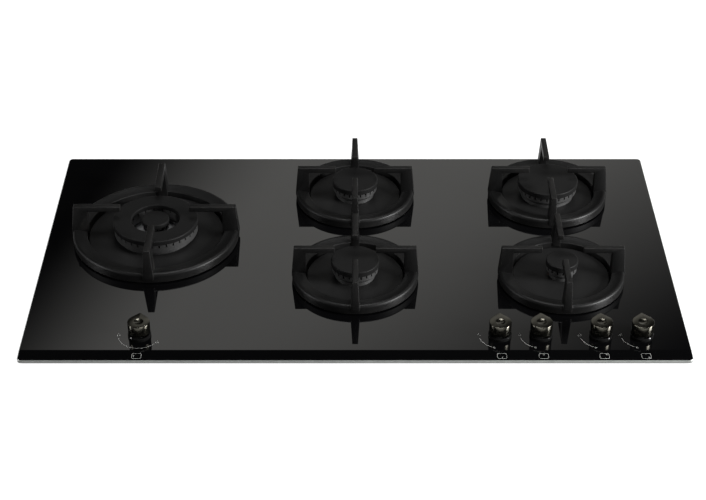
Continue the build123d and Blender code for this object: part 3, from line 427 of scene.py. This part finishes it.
def enamel():
    f = Finish("satin black enamel", grey(0.004), 0.42, Specular_IOR_Level=0.05)
    skin = effect(f.tree, "fine grain", Vector=f.place, Scale=1500.0, Drift_Scale=22.0)
    f.color(skin["Drift"], grey(0.003), grey(0.006))
    f.rough(skin["Drift"], 0.36, 0.48)
    f.bump(skin["Grain"], 0.00003, 0.6)
    return f.mat


def crown_coat(name, low, high, coarse, gloss):
    f = Finish(name, low, 0.5, Specular_IOR_Level=gloss)
    skin = effect(f.tree, "casting skin", Vector=f.place, Grain_Scale=coarse, Pit_Scale=coarse * 0.45)
    f.color(skin["Specks"], low, high)
    f.rough(skin["Drift"], 0.40, 0.58)
    f.bump(skin["Height"], 0.00012, 0.8)
    return f.mat


def knob_metal():
    f = Finish("dark brushed nickel", (0.07, 0.067, 0.056), 0.22, 1.0, uv=True, Anisotropic=0.35,
               Anisotropic_Rotation=0.25)
    lines = effect(f.tree, "brushed lines", Vector=f.place, Along=4.0, Across=3200.0)
    f.color(lines["Lines"], (0.050, 0.048, 0.040), (0.080, 0.077, 0.064))
    f.rough(lines["Lines"], 0.16, 0.26)
    f.bump(lines["Lines"], 0.000003, 0.4)
    return f.mat


def drawn_metal(name, dark, light, low, high):
    f = Finish(name, dark, low, 1.0)
    lines = effect(f.tree, "brushed lines", Vector=f.place, Along=12.0, Across=900.0)
    drift = effect(f.tree, "fine grain", Vector=f.place, Scale=700.0, Drift_Scale=30.0)
    tone = math_node(f.tree, "MULTIPLY", drift["Drift"], 0.5)
    tone = math_node(f.tree, "MULTIPLY_ADD", lines["Lines"], 0.5, tone)
    f.color(tone, dark, light)
    f.rough(tone, low, high)
    f.bump(drift["Grain"], 0.00002, 0.4)
    return f.mat


def cast_metal(name, dark, light, low, high):
    f = Finish(name, dark, low, 1.0)
    skin = effect(f.tree, "casting skin", Vector=f.place, Grain_Scale=800.0, Pit_Scale=300.0)
    f.color(skin["Drift"], dark, light)
    f.rough(skin["Height"], low, high)
    f.bump(skin["Height"], 0.00012, 0.8)
    return f.mat


def zinc_sheet():
    f = Finish("galvanised sheet", (0.55, 0.56, 0.57), 0.4, 1.0)
    zinc = effect(f.tree, "zinc spangle", Vector=f.place)
    f.color(zinc["Tone"], (0.46, 0.47, 0.48), (0.64, 0.65, 0.66))
    f.rough(zinc["Tone"], 0.30, 0.46)
    f.bump(zinc["Height"], 0.00004, 0.4)
    return f.mat


def moulded(name, dark, light, low, high, scale=1300.0, depth=0.00004, **sockets):
    f = Finish(name, dark, low, **sockets)
    skin = effect(f.tree, "fine grain", Vector=f.place, Scale=scale, Drift_Scale=40.0)
    f.color(skin["Drift"], dark, light)
    f.rough(skin["Grain"], low, high)
    f.bump(skin["Grain"], depth, 0.6)
    return f.mat


def grey(level):
    return (level, level, level)


def make_finishes():
    """The shared effects first, then one material for each slot of the record and one for the ink."""
    for build in (grain_group, casting_group, lines_group, spangle_group, wear_group):
        group = build()
        GROUPS[group.name] = group
    return {
        "black_glass": black_glass(),
        "foam_strip": moulded("grey foam strip", grey(0.040), grey(0.065), 0.80, 0.95, 500.0, 0.0003),
        "galvanised_sheet": zinc_sheet(),
        "plated_steel": drawn_metal("zinc plated steel", (0.50, 0.51, 0.52), (0.68, 0.69, 0.70), 0.28, 0.42),
        "brass": drawn_metal("machined brass", (0.58, 0.42, 0.18), (0.78, 0.60, 0.30), 0.22, 0.38),
        "copper": drawn_metal("drawn copper", (0.55, 0.28, 0.17), (0.75, 0.42, 0.28), 0.24, 0.40),
        "aluminium_tube": drawn_metal("drawn aluminium", (0.62, 0.63, 0.64), (0.78, 0.79, 0.80), 0.26, 0.40),
        # the cast aluminium is kept far darker than bare metal: soot in the cups, and painted shade inside the
        # burner openings
        "cast_aluminium": cast_metal("sooted cast aluminium with painted shade", (0.12, 0.122, 0.125), (0.18, 0.182, 0.185), 0.42, 0.60),
        "black_rubber": moulded("black rubber", grey(0.018), grey(0.030), 0.65, 0.85),
        "black_enamel": enamel(),
        "black_crown": crown_coat("matt black crown", grey(0.005), (0.075, 0.073, 0.069), 1000.0, 0.70),
        "black_cap": crown_coat("matt black cap", grey(0.004), (0.009, 0.009, 0.008), 1500.0, 0.04),
        "black_cast_iron": cast_iron(),
        "black_bezel": moulded("gloss black bezel", grey(0.002), grey(0.004), 0.06, 0.12, 300.0, 0.00001,
                               Specular_IOR_Level=0.10),
        "dark_nickel": knob_metal(),
        "white_ceramic": moulded("glazed ceramic", (0.72, 0.71, 0.67), (0.80, 0.79, 0.76), 0.12, 0.24),
        "black_plastic": moulded("black moulded plastic", grey(0.022), grey(0.034), 0.45, 0.62),
        "white_plastic": moulded("white moulded plastic", (0.70, 0.70, 0.67), (0.78, 0.78, 0.75), 0.38, 0.52),
        "white_print": moulded("grey printed ink", (0.25, 0.25, 0.24), (0.31, 0.31, 0.30), 0.45, 0.60),
    }


# --- Pieces --------------------------------------------------------------------------------------
def add_piece(name, mesh, body, finish, replaced=()):
    """Stand a finished mesh in the scene, on its body and in place of the nodes it stands for."""
    mesh.materials.clear()
    mesh.materials.append(FINISH[finish])
    obj = stand(name, mesh)
    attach(obj, body)
    if replaced:
        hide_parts(*replaced)


def mesh_of(bm, name):
    """Turn a work mesh into a mesh with its faces outwards, and let the work mesh go."""
    bmesh.ops.recalc_face_normals(bm, faces=bm.faces)
    mesh = bpy.data.meshes.new(name)
    bm.to_mesh(mesh)
    bm.free()
    return mesh


def smooth_by_angle(mesh, degrees):
    mesh.polygons.foreach_set("use_smooth", [True] * len(mesh.polygons))
    mesh.set_sharp_from_angle(angle=math.radians(degrees))


def finished_copy(obj):
    """The object's mesh with its modifiers applied, as a plain mesh of its own."""
    bpy.context.view_layer.update()
    graph = bpy.context.evaluated_depsgraph_get()
    mesh = bpy.data.meshes.new_from_object(obj.evaluated_get(graph), depsgraph=graph)
    for modifier in list(obj.modifiers):
        obj.modifiers.remove(modifier)
    return mesh


def new_tree(name, inputs):
    """A geometry node tree with named inputs: (name, kind, default)."""
    tree = bpy.data.node_groups.new(name, "GeometryNodeTree")
    tree.interface.new_socket("Geometry", in_out="INPUT", socket_type="NodeSocketGeometry")
    for label, kind, value in inputs:
        socket = tree.interface.new_socket(label, in_out="INPUT", socket_type=kind)
        if value is not None:
            socket.default_value = value
    tree.interface.new_socket("Geometry", in_out="OUTPUT", socket_type="NodeSocketGeometry")
    return tree, tree.nodes.new("NodeGroupInput"), tree.nodes.new("NodeGroupOutput")


def node(tree, kind, settings=None, **links):
    """A node of a tree, with its settings, and its inputs either linked or set."""
    made = tree.nodes.new(kind)
    for label, value in (settings or {}).items():
        setattr(made, label, value)
    for label, value in links.items():
        socket = made.inputs[label.replace("_", " ")]
        if isinstance(value, bpy.types.NodeSocket):
            tree.links.new(value, socket)
        else:
            socket.default_value = value
    return made


def run_tree(obj, tree, **values):
    """Put a tree on an object with its inputs set by identifier, and give back the finished mesh."""
    modifier = obj.modifiers.new(tree.name, "NODES")
    modifier.node_group = tree
    ids = {item.name: item.identifier for item in tree.interface.items_tree
           if item.item_type == "SOCKET" and item.in_out == "INPUT"}
    for label, value in values.items():
        modifier[ids[label.replace("_", " ")]] = value
    return finished_copy(obj)


def softened(source, width, segments, angle):
    """A copy of a mesh with its corners rounded, as the mould leaves them: those sharper than an angle."""
    bm = bmesh.new()
    bm.from_mesh(source)
    bmesh.ops.remove_doubles(bm, verts=bm.verts, dist=0.000002)
    bmesh.ops.dissolve_limit(bm, angle_limit=math.radians(0.6), verts=bm.verts, edges=bm.edges)
    obj = stand("soft", mesh_of(bm, "soft"))
    bevel = obj.modifiers.new("corners", "BEVEL")
    bevel.width = width
    bevel.segments = segments
    bevel.limit_method = "ANGLE"
    bevel.angle_limit = math.radians(angle)
    bevel.use_clamp_overlap = True
    bevel.miter_outer = "MITER_ARC"
    result = finished_copy(obj)
    bpy.data.objects.remove(obj)
    return result


# --- Pan supports --------------------------------------------------------------------------------
# Heights are above the glass and reaches are from the burner's axis
SUPPORT_TOP = 0.053
SUPPORT_ARM_H = 0.0080
SUPPORT_FOOT_H = 0.0015
SUPPORT_ROOT = 0.0065
FOOT_BORE_DEPTH = 0.0040
SHOULDER_R = 0.0045
RING_EDGE = 0.0005
RING_LIP = 0.0010
RING_DISH = 0.0025
RING_SIDES = 120
CURVE_STEPS = 7
BLADE_EDGE = 0.0009
ROOT_EDGE = 0.0004
SMALL_SUPPORT = {
    "inner": 0.070,
    "outer": 0.089,
    "top": 0.015,
    "blade_base": 0.0895,
    "blade_top": 0.086,
    "post": 0.069,
    "tip": 0.029,
    "base_t": 0.0120,
    "top_t": 0.0080,
}
WOK_SUPPORT = {
    "inner": 0.100,
    "outer": 0.121,
    "top": 0.0155,
    "blade_base": 0.122,
    "blade_top": 0.118,
    "post": 0.098,
    "tip": 0.050,
    "base_t": 0.0150,
    "top_t": 0.0094,
}


def ring_mesh(size):
    """A turned ring with an upright outer wall, a round shoulder and a top dished towards the burner."""
    inner, outer, top = size["inner"], size["outer"], size["top"]
    low = SUPPORT_FOOT_H
    crest = outer - SHOULDER_R
    bed = inner + RING_LIP
    outline = [
        (inner + RING_EDGE, low),
        (outer - RING_EDGE, low),
        (outer, low + RING_EDGE),
        (outer, top - SHOULDER_R),
    ]
    for i in range(1, CURVE_STEPS + 1):
        bend = math.radians(i * 90 / CURVE_STEPS)
        outline.append((crest + SHOULDER_R * math.cos(bend), top - SHOULDER_R * (1.0 - math.sin(bend))))
    for i in range(1, CURVE_STEPS + 1):
        part = i / CURVE_STEPS
        outline.append((crest + (bed - crest) * part, top - RING_DISH * math.sin(part * math.pi / 2)))
    for i in range(1, 4):
        bend = math.radians(i * 30)
        lip_z = top - RING_DISH - RING_LIP * (1.0 - math.cos(bend))
        outline.append((bed - RING_LIP * math.sin(bend), lip_z))
    outline.append((inner, low + RING_EDGE))
    bm = bmesh.new()
    rows = []
    for i in range(RING_SIDES):
        turn = math.tau * i / RING_SIDES
        across, away = math.cos(turn), math.sin(turn)
        rows.append([bm.verts.new((r * across, r * away, GLASS_TOP + z)) for r, z in outline])
    for i in range(RING_SIDES):
        here, there = rows[i], rows[(i + 1) % RING_SIDES]
        for j in range(len(outline)):
            k = (j + 1) % len(outline)
            bm.faces.new((here[j], there[j], there[k], here[k]))
    return mesh_of(bm, "ring")


def blade_mesh(size):
    """The blade at the right of a ring: an upright post with an arm to the middle, thinner at its top."""
    base, top, post, tip = size["blade_base"], size["blade_top"], size["post"], size["tip"]
    fall = size["top"] - 0.003       # its outer edge leans inwards from here up
    bend = size["top"] - 0.001       # and its sides from here
    arm = SUPPORT_TOP - SUPPORT_ARM_H
    outer_at_bend = base + (top - base) * (bend - fall) / (SUPPORT_TOP - fall)
    outline = [
        (post, SUPPORT_ROOT),
        (base, SUPPORT_ROOT),
        (base, fall),
        (outer_at_bend, bend),
        (top, SUPPORT_TOP),
        (tip, SUPPORT_TOP),
        (tip, arm),
        (post, arm),
        (post, bend),
    ]

    def half(z):
        part = max(0.0, (z - bend) / (SUPPORT_TOP - bend))
        return (size["base_t"] + (size["top_t"] - size["base_t"]) * part) / 2

    bm = bmesh.new()
    sides = [[bm.verts.new((r, way * half(z), GLASS_TOP + z)) for r, z in outline] for way in (-1, 1)]
    for side in sides:
        bm.faces.new([side[i] for i in (0, 1, 2, 3, 8)])
        bm.faces.new([side[i] for i in (3, 4, 5, 6, 7, 8)])
    for i in range(len(outline)):
        j = (i + 1) % len(outline)
        bm.faces.new((sides[0][i], sides[0][j], sides[1][j], sides[1][i]))
    return mesh_of(bm, "blade")


def support_tree():
    """Joins four turned copies of a blade to the ring, bores it for its feet and sets it over its burner."""
    tree, ins, outs = new_tree("pan support", [
        ("Blade", "NodeSocketObject", None),
        ("Foot Circle", "NodeSocketFloat", 0.08),
        ("Foot Bore", "NodeSocketFloat", 0.00225),
        ("Place", "NodeSocketVector", None),
        ("Iron", "NodeSocketMaterial", None),
    ])
    blade = node(tree, "GeometryNodeObjectInfo", Object=ins.outputs["Blade"])
    spots = node(tree, "GeometryNodeMeshLine", Count=4, Offset=(0.0, 0.0, 0.0))
    index = tree.nodes.new("GeometryNodeInputIndex")
    quarter = math_node(tree, "MULTIPLY", index.outputs[0], math.pi / 2)
    turn = node(tree, "ShaderNodeCombineXYZ", Z=quarter)
    turned = node(tree, "FunctionNodeEulerToRotation", Euler=turn.outputs[0])
    blades = node(tree, "GeometryNodeInstanceOnPoints", Points=spots.outputs[0],
                  Instance=blade.outputs["Geometry"], Rotation=turned.outputs[0])
    blades = node(tree, "GeometryNodeRealizeInstances", Geometry=blades.outputs[0])
    whole = node(tree, "GeometryNodeMeshBoolean", {"operation": "UNION", "solver": "EXACT"})
    tree.links.new(ins.outputs["Geometry"], whole.inputs["Mesh 2"])
    tree.links.new(blades.outputs[0], whole.inputs["Mesh 2"])
    circle = node(tree, "GeometryNodeMeshCircle", Vertices=4, Radius=ins.outputs["Foot Circle"])
    # each drill is 1 mm longer than its bore, so that it cuts through the underside
    drill = FOOT_BORE_DEPTH + 0.001
    drill_z = GLASS_TOP + SUPPORT_FOOT_H + FOOT_BORE_DEPTH - drill / 2
    circle = node(tree, "GeometryNodeTransform", Geometry=circle.outputs[0], Translation=(0.0, 0.0, drill_z),
                  Rotation=(0.0, 0.0, math.pi / 4))
    bore = node(tree, "GeometryNodeMeshCylinder", Vertices=24, Radius=ins.outputs["Foot Bore"], Depth=drill)
    bores = node(tree, "GeometryNodeInstanceOnPoints", Points=circle.outputs[0],
                 Instance=bore.outputs["Mesh"])
    bores = node(tree, "GeometryNodeRealizeInstances", Geometry=bores.outputs[0])
    cut = node(tree, "GeometryNodeMeshBoolean", {"operation": "DIFFERENCE", "solver": "EXACT"},
               Mesh_1=whole.outputs[0])
    tree.links.new(bores.outputs[0], cut.inputs["Mesh 2"])
    set_down = node(tree, "GeometryNodeTransform", Geometry=cut.outputs[0], Translation=ins.outputs["Place"])
    real = node(tree, "GeometryNodeRealizeInstances", Geometry=set_down.outputs[0])
    cast = node(tree, "GeometryNodeSetMaterial", Geometry=real.outputs[0], Material=ins.outputs["Iron"])
    tree.links.new(cast.outputs[0], outs.inputs[0])
    return tree


def make_supports():
    tree = support_tree()
    for name, (x, y) in BURNER_XY.items():
        size = WOK_SUPPORT if name == "wok" else SMALL_SUPPORT
        blade = stand("blade", softened(blade_mesh(size), BLADE_EDGE, 3, 24.0))
        ring = stand("ring", ring_mesh(size))
        joined = run_tree(ring, tree, Blade=blade, Foot_Circle=(size["inner"] + size["outer"]) / 2,
                          Place=(x, y, 0.0), Iron=FINISH["black_cast_iron"])
        for obj in (blade, ring):
            bpy.data.objects.remove(obj)
        mesh = softened(joined, ROOT_EDGE, 2, 50.0)
        smooth_by_angle(mesh, 40.0)
        mesh.name = name + "_support_casting"
        add_piece(name + "_support_casting", mesh, name + "_support", "black_cast_iron",
                  [name + "_pan_support"])


# --- Knobs ---------------------------------------------------------------------------------------
# The pointer is the upper part of the drum drawn out to a rounded tip; reaches are from the knob's axis
KNOB_R = 0.015
KNOB_H = 0.0155
KNOB_BOTTOM = GLASS_TOP + 0.0078
KNOB_EDGE = 0.0006
KNOB_TIP_R = 0.0025
KNOB_TIP_Y = KNOB_R + 0.0045 - KNOB_TIP_R
KNOB_NOSE_H = 0.0070
DIMPLE_R = 0.0065
DIMPLE_DEPTH = 0.0012
# Under the drum: its hollow, the hub in the hollow and the bore for the spindle
SKIRT_R = 0.013
HOLLOW_H = 0.004
HUB_R = 0.006
HUB_BOTTOM = 0.001
BORE_R = 0.00405
BORE_TOP = 0.0115


def rounded(points, radius, steps):
    """An open outline with each inner corner replaced by a short arc."""
    out = [points[0]]
    for before, corner, after in zip(points, points[1:], points[2:]):
        a = Vector(before) - Vector(corner)
        b = Vector(after) - Vector(corner)
        cut = min(radius, a.length * 0.45, b.length * 0.45)
        start = Vector(corner) + a.normalized() * cut
        end = Vector(corner) + b.normalized() * cut
        for i in range(steps + 1):
            t = i / steps
            p = start.lerp(Vector(corner), t).lerp(Vector(corner).lerp(end, t), t)
            out.append((p.x, p.y))
    out.append(points[-1])
    return out


def knob_turns():
    """Angles from the pointer for the knob's outline, closer together round the pointer's tip."""
    lean = math.acos((KNOB_R - KNOB_TIP_R) / KNOB_TIP_Y)
    tip = math.atan2(KNOB_TIP_R * math.sin(lean), KNOB_TIP_Y + KNOB_TIP_R * math.cos(lean))
    half = [tip * i / 7 for i in range(8)]
    half += [tip + (lean - tip) * i / 9 for i in range(1, 10)]
    half += [lean + (math.pi - lean) * i / 44 for i in range(1, 45)]
    return half + [-turn for turn in reversed(half[1:-1])]


def pointed_reach(turn, inset):
    """How far the drop-shaped outline of the knob's top reaches at an angle from the pointer."""
    drum, tip = KNOB_R - inset, KNOB_TIP_R - inset
    lean = math.acos((drum - tip) / KNOB_TIP_Y)
    side = abs(turn)
    if side >= lean:
        return drum
    if side >= math.atan2(tip * math.sin(lean), KNOB_TIP_Y + tip * math.cos(lean)):
        return drum / math.cos(side - lean)
    across = KNOB_TIP_Y * math.sin(side)
    return KNOB_TIP_Y * math.cos(side) + math.sqrt(max(0.0, tip ** 2 - across ** 2))


def knob_mesh(x):
    """A turned metal drum with a dimpled top, broken edges and its upper half drawn out into a pointer.

    Its cut is a list of (radius, height, None) where it is round and (None, height, inset) where it has
    the pointer's outline, from the middle of the top down and round to the roof of the bore.
    """
    turns = knob_turns()
    step = KNOB_H - KNOB_NOSE_H
    cut = []
    for degrees in range(0, 91, 10):
        bend = math.radians(degrees)
        cut.append((DIMPLE_R * math.sin(bend), KNOB_H - DIMPLE_DEPTH * math.cos(bend) ** 2, None))
    cut.append((DIMPLE_R + 0.0003, KNOB_H, None))
    for part in (0.0, 0.33, 0.67, 1.0):
        bend = part * math.pi / 2
        cut.append((None, KNOB_H - KNOB_EDGE * (1.0 - math.cos(bend)), KNOB_EDGE * (1.0 - math.sin(bend))))
    cut += [(None, step + 0.0003, 0.0), (None, step, 0.0003)]
    wall = [
        (KNOB_R, step),
        (KNOB_R, 0.0),
        (SKIRT_R, 0.0),
        (SKIRT_R, HOLLOW_H),
        (HUB_R, HOLLOW_H),
        (HUB_R, HUB_BOTTOM),
        (BORE_R, HUB_BOTTOM),
        (BORE_R, BORE_TOP),
        (0.0, BORE_TOP),
    ]
    cut += [(r, z, None) for r, z in rounded(wall, 0.0005, 4)]
    bm = bmesh.new()
    layer = bm.loops.layers.uv.new("turned")
    rows, way, last = [], 0.0, None
    for r, z, inset in cut:
        mean = r if inset is None else KNOB_R - inset
        if last is not None:
            way += math.hypot(mean - last[0], z - last[1])
        last = (mean, z)
        row = []
        for turn in turns:
            reach = max(r, 0.00001) if inset is None else pointed_reach(turn, inset)
            place = (x + reach * math.sin(turn), KNOB_Y + reach * math.cos(turn), KNOB_BOTTOM + z)
            row.append(bm.verts.new(place))
        rows.append((row, way))
    count = len(turns)
    for (upper, high), (lower, low) in zip(rows, rows[1:]):
        for i in range(count):
            j = (i + 1) % count
            face = bm.faces.new((upper[i], upper[j], lower[j], lower[i]))
            for loop, (turned, along) in zip(face.loops, ((i, high), (i + 1, high), (i + 1, low), (i, low))):
                loop[layer].uv = (turned / count, along)
    for row in (rows[0][0], rows[-1][0]):
        bm.faces.new(row)
    bmesh.ops.remove_doubles(bm, verts=bm.verts, dist=0.000001)
    bmesh.ops.dissolve_degenerate(bm, edges=bm.edges, dist=0.000001)
    mesh = mesh_of(bm, "knob")
    smooth_by_angle(mesh, 32.0)
    return mesh


def make_knobs():
    for name, x in KNOB_X.items():
        add_piece(name + "_turned_knob", knob_mesh(x), name + "_control", "dark_nickel",
                  [name + "_knob"])


# --- Printed marks -------------------------------------------------------------------------------
INK_LIFT = 0.00004
INK_LINE = 0.00023
INK_THICK = 0.00002
ARC_R = 0.0285           # of the arc of marks round each knob
SPOT_R = 0.0011
FLAME = 0.0042
SMALL_FLAME = 0.0036
# The plan of the burners under each knob: its middle from the front edge, its size and its cut corners
PLAN_INSET = 0.0093
PLAN_W = 0.0125
PLAN_D = 0.0095
PLAN_CORNER = 0.0012
PLAN_SPOT_R = 0.0008
PLAN_SPOTS = {
    "wok": (-0.0036, 0.0),
    "centre_front": (0.0, -0.0026),
    "centre_rear": (0.0, 0.0026),
    "right_rear": (0.0036, 0.0026),
    "right_front": (0.0036, -0.0026),
}


def strip_tree():
    """Lays a flat printed line of one width along each edge path of the mesh that it is given."""
    tree, ins, outs = new_tree("printed line", [
        ("Width", "NodeSocketFloat", INK_LINE),
        ("Thickness", "NodeSocketFloat", INK_THICK),
        ("Ink", "NodeSocketMaterial", None),
    ])
    paths = node(tree, "GeometryNodeMeshToCurve", Mesh=ins.outputs["Geometry"])
    profile = node(tree, "GeometryNodeCurvePrimitiveQuadrilateral", Width=ins.outputs["Width"],
                   Height=ins.outputs["Thickness"])
    solid = node(tree, "GeometryNodeCurveToMesh", Curve=paths.outputs[0], Profile_Curve=profile.outputs[0],
                 Fill_Caps=True)
    real = node(tree, "GeometryNodeRealizeInstances", Geometry=solid.outputs[0])
    inked = node(tree, "GeometryNodeSetMaterial", Geometry=real.outputs[0], Material=ins.outputs["Ink"])
    tree.links.new(inked.outputs[0], outs.inputs[0])
    return tree


def glass_z(y):
    """Height of the glass: flat, and falling over the front border."""
    return GLASS_TOP - max(0.0, BORDER_D - GLASS_D / 2 - y) * BORDER_FALL / BORDER_D


def mark_paths():
    """Centre lines of the printed marks: arcs with their flames and dots, and the burner plans."""
    paths = []

    def closed(points):
        paths.append(points + [points[0]])

    def flame(x, y, size):
        closed([
            (x - 0.45 * size, y - 0.5 * size),
            (x - 0.5 * size, y),
            (x, y + 0.6 * size),
            (x + 0.5 * size, y),
            (x + 0.45 * size, y - 0.5 * size),
        ])
        paths.append([(x, y + 0.75 * size), (x, y + 1.05 * size)])

    def spot(x, y, r):
        closed([(x + r * math.cos(a * math.pi / 6), y + r * math.sin(a * math.pi / 6)) for a in range(12)])

    def on_arc(x, degrees):
        """A place on the arc round a knob, in degrees anticlockwise from its left."""
        turn = math.radians(180 + degrees)
        return x + ARC_R * math.cos(turn), KNOB_Y + ARC_R * math.sin(turn)

    def sweep(x, first, last):
        paths.append([on_arc(x, degrees) for degrees in range(first, last + 1, 4)])

    for name, x in KNOB_X.items():
        flame(x - ARC_R, KNOB_Y + 0.001, FLAME)
        sweep(x, 12, 64)
        spot(*on_arc(x, 70), SPOT_R)
        if name == "wok":
            sweep(x, 76, 140)
            flame_x, flame_y = on_arc(x, 151)
            flame(flame_x, flame_y - 0.001, SMALL_FLAME)
        y = -GLASS_D / 2 + PLAN_INSET
        left, right = x - PLAN_W / 2, x + PLAN_W / 2
        front, back = y - PLAN_D / 2, y + PLAN_D / 2
        closed([
            (left + PLAN_CORNER, front),
            (right - PLAN_CORNER, front),
            (right, front + PLAN_CORNER),
            (right, back - PLAN_CORNER),
            (right - PLAN_CORNER, back),
            (left + PLAN_CORNER, back),
            (left, back - PLAN_CORNER),
            (left, front + PLAN_CORNER),
        ])
        dx, dy = PLAN_SPOTS[name]
        spot(x + dx, y + dy, PLAN_SPOT_R)
    return paths


def make_marks():
    verts, edges = [], []
    for path in mark_paths():
        first = len(verts)
        verts += [(x, y, glass_z(y) + INK_LIFT) for x, y in path]
        edges += [(first + i, first + i + 1) for i in range(len(path) - 1)]
    mesh = bpy.data.meshes.new("mark_lines")
    mesh.from_pydata(verts, edges, [])
    guide = stand("mark_lines", mesh)
    result = run_tree(guide, strip_tree(), Width=INK_LINE, Ink=FINISH["white_print"])
    bpy.data.objects.remove(guide)
    add_piece("printed_marks", result, "hob", "white_print")


# --- Screws --------------------------------------------------------------------------------------
BONNET_SCREW_OFF = 0.0105    # from the middle of the knob, to its front and back
BONNET_SCREW_Z = 0.041
CLAMP_SCREW = (0.4185, 0.140, 0.0324)
# Layers of a screw's head: share of its height, and how much narrower it gets
HEAD_LAYERS = ((0.12, 1.0), (0.48, 0.96), (0.26, 0.84), (0.14, 0.70))
SLOT_LONG = 0.95
SLOT_WIDE = 0.26


def screw_tree():
    """Sets a cross-head screw on each point of the mesh that it is given, along the point's axis."""
    tree, ins, outs = new_tree("cross-head screws", [
        ("Head Radius", "NodeSocketFloat", 0.0035),
        ("Head Height", "NodeSocketFloat", 0.0025),
        ("Shank Radius", "NodeSocketFloat", 0.0020),
        ("Shank Length", "NodeSocketFloat", 0.0060),
        ("Metal", "NodeSocketMaterial", None),
    ])
    radius, height = ins.outputs["Head Radius"], ins.outputs["Head Height"]

    def times(value, part):
        return math_node(tree, "MULTIPLY", value, part)

    def along_z(value):
        return node(tree, "ShaderNodeCombineXYZ", Z=value).outputs[0]

    disc = node(tree, "GeometryNodeMeshCircle", {"fill_type": "NGON"}, Vertices=32, Radius=radius).outputs[0]
    wall, top = disc, True
    for rise, spread in HEAD_LAYERS:
        lifted = node(tree, "GeometryNodeExtrudeMesh", Mesh=wall, Selection=top,
                      Offset_Scale=times(height, rise))
        top = lifted.outputs["Top"]
        wall = node(tree, "GeometryNodeScaleElements", Geometry=lifted.outputs["Mesh"], Selection=top,
                    Scale=spread).outputs[0]
    under = node(tree, "GeometryNodeFlipFaces", Mesh=disc)
    open_head = tree.nodes.new("GeometryNodeJoinGeometry")
    tree.links.new(wall, open_head.inputs[0])
    tree.links.new(under.outputs[0], open_head.inputs[0])
    head = node(tree, "GeometryNodeMergeByDistance", Geometry=open_head.outputs[0],
                Distance=0.000005).outputs[0]
    slots = []
    for wide, deep in ((SLOT_LONG, SLOT_WIDE), (SLOT_WIDE, SLOT_LONG)):
        size = node(tree, "ShaderNodeCombineXYZ", X=times(radius, wide), Y=times(radius, deep),
                    Z=times(height, 1.1))
        cube = node(tree, "GeometryNodeMeshCube", Size=size.outputs[0])
        slots.append(node(tree, "GeometryNodeTransform", Geometry=cube.outputs[0],
                          Translation=along_z(times(height, 1.0))).outputs[0])
    cut = node(tree, "GeometryNodeMeshBoolean", {"operation": "DIFFERENCE", "solver": "EXACT"}, Mesh_1=head)
    for slot in slots:
        tree.links.new(slot, cut.inputs["Mesh 2"])
    shank = node(tree, "GeometryNodeMeshCylinder", Vertices=20, Radius=ins.outputs["Shank Radius"],
                 Depth=ins.outputs["Shank Length"])
    shank = node(tree, "GeometryNodeTransform", Geometry=shank.outputs[0],
                 Translation=along_z(times(ins.outputs["Shank Length"], -0.5)))
    screw = tree.nodes.new("GeometryNodeJoinGeometry")
    tree.links.new(cut.outputs[0], screw.inputs[0])
    tree.links.new(shank.outputs[0], screw.inputs[0])
    axis = node(tree, "GeometryNodeInputNamedAttribute", {"data_type": "FLOAT_VECTOR"}, Name="axis")
    turned = node(tree, "FunctionNodeAlignRotationToVector", {"axis": "Z"}, Vector=axis.outputs[0])
    placed = node(tree, "GeometryNodeInstanceOnPoints", Points=ins.outputs["Geometry"],
                  Instance=screw.outputs[0], Rotation=turned.outputs[0])
    real = node(tree, "GeometryNodeRealizeInstances", Geometry=placed.outputs[0])
    plated = node(tree, "GeometryNodeSetMaterial", Geometry=real.outputs[0], Material=ins.outputs["Metal"])
    tree.links.new(plated.outputs[0], outs.inputs[0])
    return tree


def make_screws():
    """Two screws on each tap bonnet, and one on each clamp at the ends of the box."""
    places = [((x, KNOB_Y + side * BONNET_SCREW_OFF, BONNET_SCREW_Z), (0.0, 0.0, 1.0))
              for x in KNOB_X.values() for side in (-1, 1)]
    x, y, z = CLAMP_SCREW
    places += [((side * x, way * y, z), (side, 0.0, 0.0)) for side in (-1, 1) for way in (-1, 1)]
    mesh = bpy.data.meshes.new("screw_places")
    mesh.from_pydata([place for place, _ in places], [], [])
    axis = mesh.attributes.new("axis", "FLOAT_VECTOR", "POINT")
    axis.data.foreach_set("vector", [float(value) for _, way in places for value in way])
    guide = stand("screw_places", mesh)
    result = run_tree(guide, screw_tree(), Metal=FINISH["plated_steel"])
    bpy.data.objects.remove(guide)
    smooth_by_angle(result, 30.0)
    add_piece("cross_head_screws", result, "hob", "plated_steel", ["screws"])


# --- Put together --------------------------------------------------------------------------------
def dress_nodes():
    """Every solid whose shape is right keeps it and takes the finish of its slot."""
    for row in frame["record"]["subparts"]:
        obj = nodes[row["node"]]
        for place in obj.material_slots:
            place.material = FINISH[row["material_slot"]]


set_camera()
set_world()
for name, values in LAMPS.items():
    lamp(name, *values)
make_floor()
FINISH = make_finishes()
dress_nodes()
make_supports()
make_knobs()
make_marks()
make_screws()
